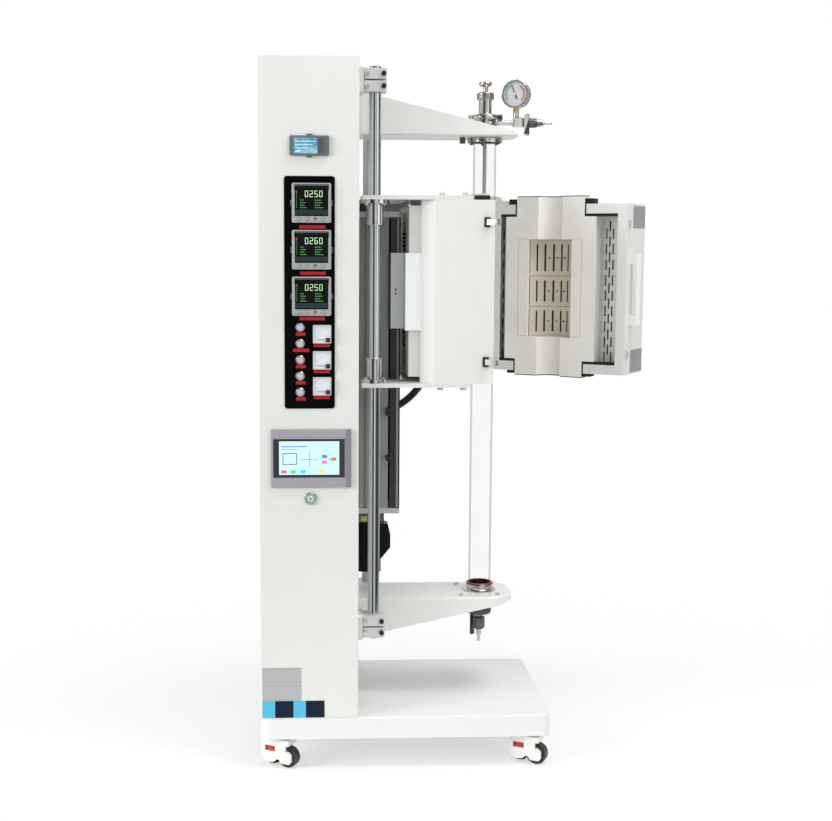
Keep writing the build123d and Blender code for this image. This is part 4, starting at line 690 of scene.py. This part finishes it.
def hose_line(step):
    """Places and directions every step along the hose, with its two bends rounded."""
    start, bend_a, bend_b, end = [Vector((x, 0, z)) for x, z in hose_corners()]
    line = []
    heading = hose_tilt
    here = start.copy()
    plan = [(0, 1.0), (hose_lean - hose_tilt, hose_bends[0]), (0, 1.0), (-hose_lean, hose_bends[1]),
            (0, bend_b.z - hose_bends[1] * tan(radians(hose_lean) / 2) - end.z)]
    for turn_by, size in plan:
        length = size if turn_by == 0 else radians(abs(turn_by)) * size
        count = max(1, round(length / step))
        for i in range(count):
            line.append((here.copy(), heading))
            heading += turn_by / count / 2
            here += Vector((-sin(radians(heading)), 0, -cos(radians(heading)))) * (length / count)
            heading += turn_by / count / 2
    line.append((here.copy(), heading))
    return line


def hose(shape):
    """Rings drawn along the line, every other one a little smaller, and closed at both ends."""
    line = hose_line(1.5)
    ring = bmesh.ops.create_circle(shape, cap_ends=False, segments=20, radius=hose_radius / 1000)["verts"]
    for index, (place, heading) in enumerate(line):
        size = 1.0 if index % 2 else 0.89
        turn = Matrix.Rotation(radians(heading), 4, "Y")
        if index:
            edges = list({e for v in ring for e in v.link_edges if all(w in ring for w in e.verts)})
            grown = bmesh.ops.extrude_edge_only(shape, edges=edges)
            ring = [v for v in grown["geom"] if isinstance(v, bmesh.types.BMVert)]
            bmesh.ops.transform(shape, matrix=back, verts=ring)
        move = Matrix.Translation(at(place.x, hose_y, place.z)) @ turn @ Matrix.Diagonal((size, size, 1, 1))
        bmesh.ops.transform(shape, matrix=move, verts=ring)
        back = move.inverted()
    bmesh.ops.holes_fill(shape, edges=[e for e in shape.edges if e.is_boundary], sides=0)


ribbed = new_piece("conduit_hose", hose, (hose_black,), None)
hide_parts("conduit")
at(hose_corners()[3][0], hose_y, elbow_top)
at(hose_corners()[0][0], hose_y, hose_start[1] - 8)
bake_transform(ribbed)
elbow_black = finish("elbow_black", (0.02, 0.02, 0.021), (0.06, 0.06, 0.062), 0.4, patch=40.0, bump=0.1)
dress("conduit_elbow", elbow_black)

# Support arms: two folded channels of 6 mm sheet on plates against the column, coated
# white. They taper to a rounded tip and hold the process tube's ends.
arm_coat = powder_coat("arm_powder_coat", (0.82, 0.83, 0.805), (0.74, 0.75, 0.73), 0.36, 2.6, amount=0.45)
dress("support_arms", arm_coat)

# Process tube: clear fused quartz, 60 mm across with a 3 mm wall, ground flat at its ends.
quartz = bpy.data.materials.new("quartz_clear")
quartz.use_nodes = True
tree = quartz.node_tree
gloss = tree.nodes["Principled BSDF"]
life = add_node(tree, "Group", node_tree=surface_life)
for socket, value in (("Base", (0.16, 0.165, 0.165, 1)), ("Mark", (0.26, 0.27, 0.27, 1)),
                      ("Stretch", (30, 30, 0.5)), ("Grain Scale", 30), ("Patch Scale", 8), ("Roughness", 0.05),
                      ("Spread", 0.03)):
    life.inputs[socket].default_value = value
through = add_node(tree, "BsdfTransparent", (("Color", (0.992, 0.994, 0.994, 1)),))
facing = add_node(tree, "LayerWeight", (("Blend", 0.5),))
rim = add_node(tree, "MapRange", (("From Min", 0.60), ("From Max", 0.88), ("To Min", 0.012), ("To Max", 0.9)))
glass = add_node(tree, "MixShader")
join(tree, (life.outputs["Color"], gloss.inputs["Base Color"]),
     (life.outputs["Roughness"], gloss.inputs["Roughness"]),
     (facing.outputs["Facing"], rim.inputs["Value"]), (rim.outputs["Result"], glass.inputs[0]),
     (through.outputs[0], glass.inputs[1]), (gloss.outputs[0], glass.inputs[2]),
     (glass.outputs[0], tree.nodes["Material Output"].inputs["Surface"]))
dress("quartz_tube", quartz)

# Tube flanges: turned stainless seals that clamp each end of the tube on its arm. The
# upper one has a swing clamp with a black wing nut and a knurled nut for the rod.
seal_steel = finish("seal_steel", (0.60, 0.585, 0.565), (0.44, 0.43, 0.415), 0.2, metallic=1.0, grain=240.0,
                    patch=40.0, amount=0.4, speckle=0.3, spread=0.2, stretch=(1, 1, 14), bump=0.08)
nut_dark = finish("nut_dark", (0.10, 0.098, 0.095), (0.2, 0.195, 0.19), 0.35, metallic=0.7, patch=60.0, amount=0.5)
nut_grey = finish("knurled_nut_grey", (0.40, 0.395, 0.385), (0.25, 0.25, 0.245), 0.34, metallic=1.0, grain=500.0,
                  patch=60.0, amount=0.4, speckle=0.6, stretch=(3, 3, 0.15), bump=0.5, depth=0.0004)
wing_black = finish("wing_nut_black", (0.025, 0.025, 0.026), (0.09, 0.088, 0.085), 0.42, patch=60.0, bump=0.1)
tube_x = 587.0
tube_y = 250.0
dress("tube_flanges", seal_steel, nut_dark, nut_grey, wing_black)
mark_faces("tube_flanges", 1, lambda x, y, z, n: 1461 < z < 1478.5 and (z < 1466.2 or x < 541.5))
mark_faces("tube_flanges", 2, lambda x, y, z, n: z > 1576 and (x - tube_x) ** 2 + (y - tube_y) ** 2 > 20 ** 2)
mark_faces("tube_flanges", 3, lambda x, y, z, n: 1524 < z < 1540 and x > 618.5)
mark_faces("tube_flanges", 1, lambda x, y, z, n: z < 263.2)


def seal_ring(shape):
    """The red silicone ring that shows on the lower flange, drawn up, inwards and down."""
    low = at(tube_x, tube_y, 287.5)
    ring = bmesh.ops.create_circle(shape, segments=48, radius=0.036, matrix=Matrix.Translation(low))["verts"]
    edges = list({e for v in ring for e in v.link_edges})
    for radius, rise in ((36.3, 2.0), (34.5, 3.6), (31.6, 4.0), (30.6, 3.0), (30.6, -2.0)):
        grown = bmesh.ops.extrude_edge_only(shape, edges=edges)
        edges = [e for e in grown["geom"] if isinstance(e, bmesh.types.BMEdge)]
        for vertex in (v for v in grown["geom"] if isinstance(v, bmesh.types.BMVert)):
            out = (vertex.co - low).to_2d().normalized().to_3d() * radius / 1000
            vertex.co = low + out + Vector((0, 0, rise / 1000))


seal_red = finish("seal_silicone_red", (0.22, 0.018, 0.018), (0.36, 0.05, 0.045), 0.3, patch=60.0, amount=0.5,
                  coat=0.2)
seal = new_piece("lower_seal_ring", seal_ring, (seal_red,), "stand")

# Sample rod: a plain ceramic rod that slides through the upper seal, with a small turned
# knob on its end to lift it by.
rod_beige = finish("rod_ceramic_beige", (0.50, 0.42, 0.37), (0.40, 0.335, 0.295), 0.55, amount=0.4, patch=30.0,
                   bump=0.1)
knob_rose = finish("knob_metal", (0.66, 0.56, 0.52), (0.5, 0.42, 0.4), 0.26, metallic=0.9, grain=240.0, patch=60.0,
                   amount=0.4, stretch=(1, 1, 12))
dress("sample_rod", rod_beige, knob_rose)
mark_faces("sample_rod", 1, lambda x, y, z, n: z > 1596.0)

# Gas fittings: a stainless cross with a pressure gauge on its riser and a ball valve with
# a hose nozzle, and a second valve with a nozzle under the lower flange.
fitting_steel = finish("fitting_steel", (0.66, 0.655, 0.64), (0.5, 0.495, 0.485), 0.17, metallic=1.0, grain=300.0,
                       patch=50.0, amount=0.35, spread=0.15, bump=0.06)
brass = finish("gauge_nut_brass", (0.62, 0.47, 0.16), (0.42, 0.30, 0.09), 0.28, metallic=1.0, patch=70.0, amount=0.5)
valve_dark = finish("valve_body_dark", (0.11, 0.105, 0.10), (0.24, 0.23, 0.22), 0.34, metallic=0.85, grain=400.0,
                    patch=60.0, amount=0.5, speckle=0.4, bump=0.15)
bezel_chrome = finish("gauge_bezel", (0.62, 0.615, 0.60), (0.50, 0.495, 0.48), 0.22, metallic=1.0, patch=12.0,
                      amount=0.3, spread=0.08)
case_back = finish("gauge_case_dark", (0.16, 0.165, 0.17), (0.3, 0.305, 0.31), 0.3, metallic=0.8, patch=40.0,
                   amount=0.5)
dress("gas_fittings", fitting_steel, brass, valve_dark, bezel_chrome, case_back)
gauge_middle = (668.0, 250.0, 1591.0)
gauge_spin = Matrix.Translation(at(*gauge_middle)) @ Matrix.Rotation(radians(-25), 4, "Z") @ Matrix.Translation(
    -at(*gauge_middle))
gauge_unspin = gauge_spin.inverted()


def in_gauge(x, y, z):
    """The same place seen along the gauge's own axis, its middle at zero."""
    turned = gauge_unspin @ at(x, y, z)
    return (turned - at(*gauge_middle)) * 1000


mark_faces("gas_fittings", 1, lambda x, y, z, n: 1542.5 < z < 1555 and x < 690)
mark_faces("gas_fittings", 2, lambda x, y, z, n: 1490 < z < 1545 and 686 < x < 722)
mark_faces("gas_fittings", 2, lambda x, y, z, n: 158 < z < 196.5)
mark_faces("gas_fittings", 3, lambda x, y, z, n: z > 1554.0 and in_gauge(x, y, z).y < -4)
mark_faces("gas_fittings", 4, lambda x, y, z, n: z > 1554.0 and in_gauge(x, y, z).y > 0)

# Gauge dial: a lilac-grey card behind glass, with a green sector on the left, a red one on
# the right and plain marks; its dark needle points up and to the left.
dial_lilac = finish("gauge_dial", (0.66, 0.66, 0.70), (0.58, 0.585, 0.63), 0.35, patch=30.0, amount=0.4, coat=0.2)
sector_green = finish("gauge_sector_green", (0.20, 0.46, 0.36), (0.16, 0.38, 0.3), 0.4, patch=60.0)
sector_red = finish("gauge_sector_red", (0.62, 0.22, 0.24), (0.54, 0.18, 0.2), 0.4, patch=60.0)
hub_white = finish("gauge_hub", (0.72, 0.72, 0.71), (0.6, 0.6, 0.6), 0.3, patch=90.0)
mark_dark = finish("gauge_marks", (0.08, 0.08, 0.09), (0.14, 0.14, 0.15), 0.4, patch=90.0)


def dial_sector(shape, start, sweep, inner, outer, index, y):
    """A flat band between two radii, turned through an angle about the dial's middle."""
    middle = at(*gauge_middle)
    low = shape.verts.new(middle + Vector((cos(start) * inner, y, sin(start) * inner)) / 1000)
    high = shape.verts.new(middle + Vector((cos(start) * outer, y, sin(start) * outer)) / 1000)
    edge = shape.edges.new((low, high))
    made = bmesh.ops.spin(shape, geom=[low, high, edge], cent=middle, axis=(0, 1, 0), angle=-sweep,
                          steps=max(2, round(abs(sweep) * 12)), use_merge=False)
    for item in shape.faces:
        if item.material_index == 0 and index and item.calc_center_median().y < middle.y + (y + 0.01) / 1000:
            item.material_index = index


def gauge_dial(shape):
    middle_x, middle_y, middle_z = gauge_middle
    puck(shape, middle_x, middle_y - 10.2, middle_z, 31.3, 0.8, 0, 0.0, 48)
    dial_sector(shape, radians(100), radians(120), 21.5, 26.0, 1, -10.75)
    dial_sector(shape, radians(-45), radians(105), 21.5, 26.0, 2, -10.9)
    for i in range(13):
        angle = radians(225 - 22.5 * i)
        long = 4.6 if i % 3 == 0 else 2.8
        place = at(*gauge_middle) + Vector((cos(angle) * 28.0, -11.0, sin(angle) * 28.0)) / 1000
        bmesh.ops.create_cube(shape, size=1.0, matrix=Matrix.Translation(place) @ Matrix.Rotation(
            -angle, 4, "Y") @ Matrix.Diagonal((long / 1000, 0.0002, 0.0006, 1)))
    for face in shape.faces:
        if face.calc_center_median().y < at(*gauge_middle).y - 0.01093:
            face.material_index = 4
    puck(shape, middle_x, middle_y - 13.6, middle_z, 3.4, 0.7, 3, 0.2, 20)


dial = new_piece("gauge_dial", gauge_dial, (dial_lilac, sector_green, sector_red, hub_white, mark_dark), "stand",
                 gauge_spin)
dress("gauge_pointer", pointer_black)

# Valve levers: stamped steel levers, the hose valve's half dipped in black, and a black
# one on the drain valve.
lever_black = finish("lever_dip_black", (0.014, 0.014, 0.015), (0.05, 0.05, 0.05), 0.3, patch=50.0, amount=0.5,
                     coat=0.3)
lever_steel = finish("lever_steel", (0.68, 0.67, 0.65), (0.5, 0.49, 0.48), 0.2, metallic=1.0, patch=60.0, amount=0.4)
dress("gas_valve_lever", lever_steel, lever_black)
mark_faces("gas_valve_lever", 1, lambda x, y, z, n: x > 692.0)
dress("drain_valve_lever", lever_black)

# Carriage plates: two white coated plates that the drive lifts along the rods, bolted to
# the furnace's top and bottom, with a rear plate and the hose's black gland.
plate_coat = powder_coat("carriage_powder_coat", (0.73, 0.735, 0.72), (0.65, 0.655, 0.645), 0.37, 5.0)
bolt_white = finish("coated_bolt", (0.66, 0.66, 0.645), (0.5, 0.5, 0.49), 0.35, metallic=0.2, patch=60.0, amount=0.5)
dress("carriage_plates", plate_coat, bolt_white, elbow_black)
mark_faces("carriage_plates", 1, lambda x, y, z, n: x > 440 and (z > 1321.2 or z < 842.8) and y < 470)
mark_faces("carriage_plates", 2, lambda x, y, z, n: 415 < x < 465 and 340 < y < 390 and z < 842.8)

# Rod bearings: flanged ball bushings with a bright plated housing and four button-head
# screws each, one on every rod at both plates.
bearing_chrome = finish("bearing_chrome", (0.62, 0.625, 0.635), (0.42, 0.425, 0.435), 0.16, metallic=1.0,
                        grain=240.0, patch=30.0, amount=0.4, speckle=0.2, spread=0.15, stretch=(1, 1, 10),
                        bump=0.06)
dress("rod_bearings", bearing_chrome)

# Lift bracket: a folded white plate behind the furnace, screwed to the dark slider that
# comes out of the drive's slot.
# The bracket's coat has a faint blue of its own, but it is painted much lighter than the other white coats: painted
# light that lifts the shadow it sits in. Its sides facing along X keep the plainer carriage coat, so front and sides
# are lit and shaded copies of one white.
bracket_coat_painted_light = powder_coat("bracket_painted_light_coat", (0.92, 0.945, 0.96), (0.85, 0.875, 0.89), 0.38, 8.0, coat=0)
slider_dark = finish("slider_dark", (0.02, 0.02, 0.021), (0.07, 0.07, 0.07), 0.4, metallic=0.4, patch=20.0,
                     amount=0.5)
dress("lift_bracket", bracket_coat_painted_light, slider_dark, plate_coat)
mark_faces("lift_bracket", 2, lambda x, y, z, n: abs(n.x) > 0.5)
mark_faces("lift_bracket", 1, lambda x, y, z, n: x < 335.6)


def bracket_screws(shape):
    for z in (1085.0, 1074.0):
        puck(shape, 348.0, 151.6, z, 2.4, 0.8, 0, 0.2, 16)


screws = new_piece("bracket_screws", bracket_screws, (screw_black,), "carriage")

# Furnace cases: two halves folded from white coated sheet, mirror images of each other,
# with chamfered outer corners and a notched rim round the hot opening.
case_coat = powder_coat("furnace_powder_coat", (0.77, 0.775, 0.745), (0.705, 0.71, 0.685), 0.36, 4.0)
dress("furnace_shell", case_coat)
dress("door_shell", case_coat)
dress("terminal_cover", case_coat)
door_face = 587.6
door_pin = at(tube_x, 481.0, 0)
door_turn = Matrix.Translation(door_pin) @ Matrix.Rotation(radians(58.0), 4, "Z") @ Matrix.Translation(-door_pin)
door_back = door_turn.inverted()


def closed(x, y, z):
    """Where a place on the open door lies when the door is shut, in millimetres."""
    return (door_back @ at(x, y, z) - column_low) * 1000


# Insulation: ceramic fibre board, cut to leave a window for the heaters and a bore for the
# tube. Its collars stick out above and below, with black bands round them where they meet
# the shell, and the boards' joints show as thin lines.
fibre_board = finish("fibre_board", (0.90, 0.885, 0.835), (0.74, 0.72, 0.66), 0.92, grain=260.0, patch=9.0,
                     amount=0.5, speckle=0.35, bump=0.35, depth=0.0006)
# Near-black bands and thin sheets round the collars, under the shell's rim.
collar_band_black = finish("collar_band_black", (0.008, 0.008, 0.008), (0.035, 0.033, 0.03), 0.95, grain=700.0, patch=60.0,
                    amount=0.5, speckle=0.5, bump=0.5, depth=0.0006)
joint_dark = finish("joint_dark", (0.30, 0.29, 0.25), (0.2, 0.19, 0.165), 0.95, patch=60.0)
dress("furnace_insulation", fibre_board)
dress("door_insulation", fibre_board)


def collar_bands(shape, side):
    """Black bands round the collars of one half; side is 1 for the door and -1 for the fixed half."""
    face = door_face if side > 0 else tube_x

    def strip(d0, d1, y0, y1, z0, z1):
        x0, x1 = sorted((face + side * d0, face + side * d1))
        brick(shape, x0, x1, y0, y1, z0, z1, 0, 0.4)

    for z0, z1 in ((1277.6, 1285.0), (879.0, 886.4)):
        strip(-0.2, 20.0, 58.5, 151.4, z0, z1)
        strip(-0.2, 20.0, 348.6, 395.5, z0, z1)
    for z0, z1 in ((1284.0, 1310.8), (853.2, 880.0)):
        strip(-0.2, 34.0, 147.0, 151.4, z0, z1)
        strip(-0.2, 34.0, 348.6, 353.0, z0, z1)
    strip(0.0, 38.0, 128.0, 151.4, 1311.3, 1325.5)
    strip(0.0, 38.0, 348.6, 372.0, 1311.3, 1325.5)
    strip(0.0, 38.0, 128.0, 151.4, 845.0, 852.8)
    strip(0.0, 38.0, 348.6, 372.0, 845.0, 852.8)


def collar_end_sheet(shape, z0, z1):
    """A thin black sheet on one end of the door's collar, cut round the tube's bore."""
    face = door_face
    outline = [(face + 0.3, 152.0), (face + 34.6, 152.0), (face + 34.6, 348.0), (face + 0.3, 348.0)]
    for turn in range(85, -86, -10):
        outline.append((face + 35.5 * cos(radians(turn)), tube_y + 35.5 * sin(radians(turn))))
    low = [shape.verts.new(at(x, y, z0)) for x, y in outline]
    high = [shape.verts.new(at(x, y, z1)) for x, y in outline]
    shape.faces.new(low[::-1])
    shape.faces.new(high)
    for i in range(len(outline)):
        j = (i + 1) % len(outline)
        shape.faces.new((low[i], low[j], high[j], high[i]))


def door_collar_pieces(shape):
    collar_bands(shape, 1)
    collar_end_sheet(shape, 1331.05, 1333.4)
    collar_end_sheet(shape, 840.6, 842.95)


collar_band_piece = new_piece("furnace_collar_bands", lambda shape: collar_bands(shape, -1), (collar_band_black,), "carriage")
collar_band_piece = new_piece("door_collar_bands", door_collar_pieces, (collar_band_black,), "door", door_turn)


def board_joints(shape, side):
    """The joints round the window of one half; side is 1 for the door."""
    face = door_face if side > 0 else tube_x
    x0, x1 = sorted((face - side * 0.08, face + side * 0.2))
    for y in (158.0, 342.0):
        brick(shape, x0, x1, y - 0.4, y + 0.4, 951, 1217, 0)
    for z in (951.0, 1217.0):
        brick(shape, x0, x1, 158.0, 186.0, z - 0.4, z + 0.4, 0)
        brick(shape, x0, x1, 314.0, 342.0, z - 0.4, z + 0.4, 0)


joints = new_piece("furnace_board_joints", lambda shape: board_joints(shape, -1), (joint_dark,), "carriage")
joints = new_piece("door_board_joints", lambda shape: board_joints(shape, 1), (joint_dark,), "door", door_turn)

# Heaters: three cast half rings in each half, with a coil behind every slot, a small
# thermocouple hole and a pair of lead-out beads at mid height.
heater_cast = finish("heater_cast", (0.72, 0.675, 0.58), (0.60, 0.555, 0.465), 0.93, grain=320.0, patch=14.0,
                     amount=0.5, speckle=0.35, bump=0.3, depth=0.0005)
# Near-black brown for the heater slots: the coil's own colour together with painted shade deep in each slot.
coil_and_slot_shade = finish("coil_and_slot_shade", (0.040, 0.034, 0.025), (0.12, 0.10, 0.075), 0.75, metallic=0.1, grain=900.0,
                   patch=60.0, amount=0.5, speckle=0.5)
dress("furnace_heaters", heater_cast, coil_and_slot_shade)
dress("door_heaters", heater_cast, coil_and_slot_shade)


def in_slot(x, y):
    """True where a face of a heater lies behind its inner surface, inside a slot."""
    reach = (x * x + y * y) ** 0.5
    return 62.6 < reach < 70.4


# The walls inside every slot get this dark finish, which paints both the coil and the shade in the slot.
mark_faces("furnace_heaters", 1, lambda x, y, z, n: in_slot(x - tube_x, y - tube_y) and abs(n.z) < 0.5)
mark_faces("door_heaters", 1, lambda x, y, z, n: abs(n.z) < 0.5 and
           in_slot(closed(x, y, z).x - door_face, closed(x, y, z).y - tube_y))


def heater_beads(shape, side):
    """Three thermocouple tips and three lead-out beads on each heater of one half."""
    face = door_face if side > 0 else tube_x
    for z in (990.0, 1073.5, 1165.5):
        for angle in (-22, 0, 22):
            x = face + side * 61.6 * cos(radians(angle))
            y = tube_y + 61.6 * sin(radians(angle))
            bmesh.ops.create_icosphere(shape, subdivisions=2, radius=0.0023, matrix=Matrix.Translation(at(x, y, z)))
        for angle in (-33, -11, 11):
            x = face + side * 64.5 * cos(radians(angle))
            y = tube_y + 64.5 * sin(radians(angle))
            brick(shape, x - 2.4, x + 2.4, y - 3.4, y + 3.4, z - 2.2, z + 2.2, 0, 0.6)


bead_grey = finish("bead_ceramic", (0.06, 0.058, 0.053), (0.12, 0.115, 0.105), 0.85, patch=90.0, amount=0.6)
beads = new_piece("furnace_heater_beads", lambda shape: heater_beads(shape, -1), (bead_grey,), "carriage")
beads = new_piece("door_heater_beads", lambda shape: heater_beads(shape, 1), (bead_grey,), "door", door_turn)

# Liners: polished steel sheets in the air gaps, pierced with staggered cooling slots.
# The steel is drawn as a near-white, barely metallic surface: its brightness is a painted reflection in place of the
# glare that the polished steel mirrors.
liner_painted_reflection = finish("liner_painted_reflection", (0.97, 0.975, 0.95), (0.86, 0.87, 0.83), 0.12, metallic=0.12, grain=16.0,
                      patch=7.0, amount=0.5, spread=0.1, bump=0.12, depth=0.0012)
dress("furnace_liner", liner_painted_reflection)
dress("door_liner", liner_painted_reflection)

# Hinges and latches: steel knuckle hinges on the back, and at the front two plated hooks
# on black bases that catch the door's keepers.
latch_black = finish("latch_black", (0.018, 0.018, 0.019), (0.06, 0.058, 0.055), 0.42, patch=50.0, bump=0.1)
hook_chrome = finish("hook_chrome", (0.86, 0.855, 0.85), (0.60, 0.595, 0.59), 0.13, metallic=0.8, patch=50.0,
                     amount=0.4, spread=0.15)
hinge_steel = finish("hinge_steel", (0.55, 0.55, 0.545), (0.42, 0.42, 0.415), 0.32, metallic=0.9, patch=30.0,
                     amount=0.4, bump=0.08)
handle_white = finish("handle_white", (0.93, 0.93, 0.90), (0.86, 0.86, 0.83), 0.34, patch=20.0)
dress("hinge_and_latch_bases", latch_black, hinge_steel)
mark_faces("hinge_and_latch_bases", 1, lambda x, y, z, n: y > 400)
dress("latch_hook_upper", hook_chrome)
dress("latch_hook_lower", hook_chrome)
dress("door_fittings", handle_white, hook_chrome, hinge_steel, case_coat)
mark_faces("door_fittings", 1, lambda x, y, z, n: closed(x, y, z).y < 40 and closed(x, y, z).x < 620)
mark_faces("door_fittings", 2, lambda x, y, z, n: closed(x, y, z).y > 466)
mark_faces("door_fittings", 3, lambda x, y, z, n: z > 1310)

# Blank door plates: two grey aluminium plates with a thin border, riveted to the door's
# front edge, with nothing on them.
door_plate = finish("door_plate_grey", (0.40, 0.40, 0.405), (0.33, 0.33, 0.335), 0.38, metallic=0.4, grain=900.0,
                    patch=30.0, amount=0.4, stretch=(1, 1, 6))


def door_plates(shape):
    for z0, z1 in ((1247.0, 1305.5), (857.0, 918.0)):
        brick(shape, 637.5, 734.0, 31.1, 31.95, z0, z1, 0, 0.3)
        for low, high in ((z0 + 3.0, z0 + 3.8), (z1 - 3.8, z1 - 3.0)):
            brick(shape, 641.0, 730.5, 30.95, 31.12, low, high, 1)


plates = new_piece("blank_door_plates", door_plates, (door_plate, plate_edge), "door", door_turn)
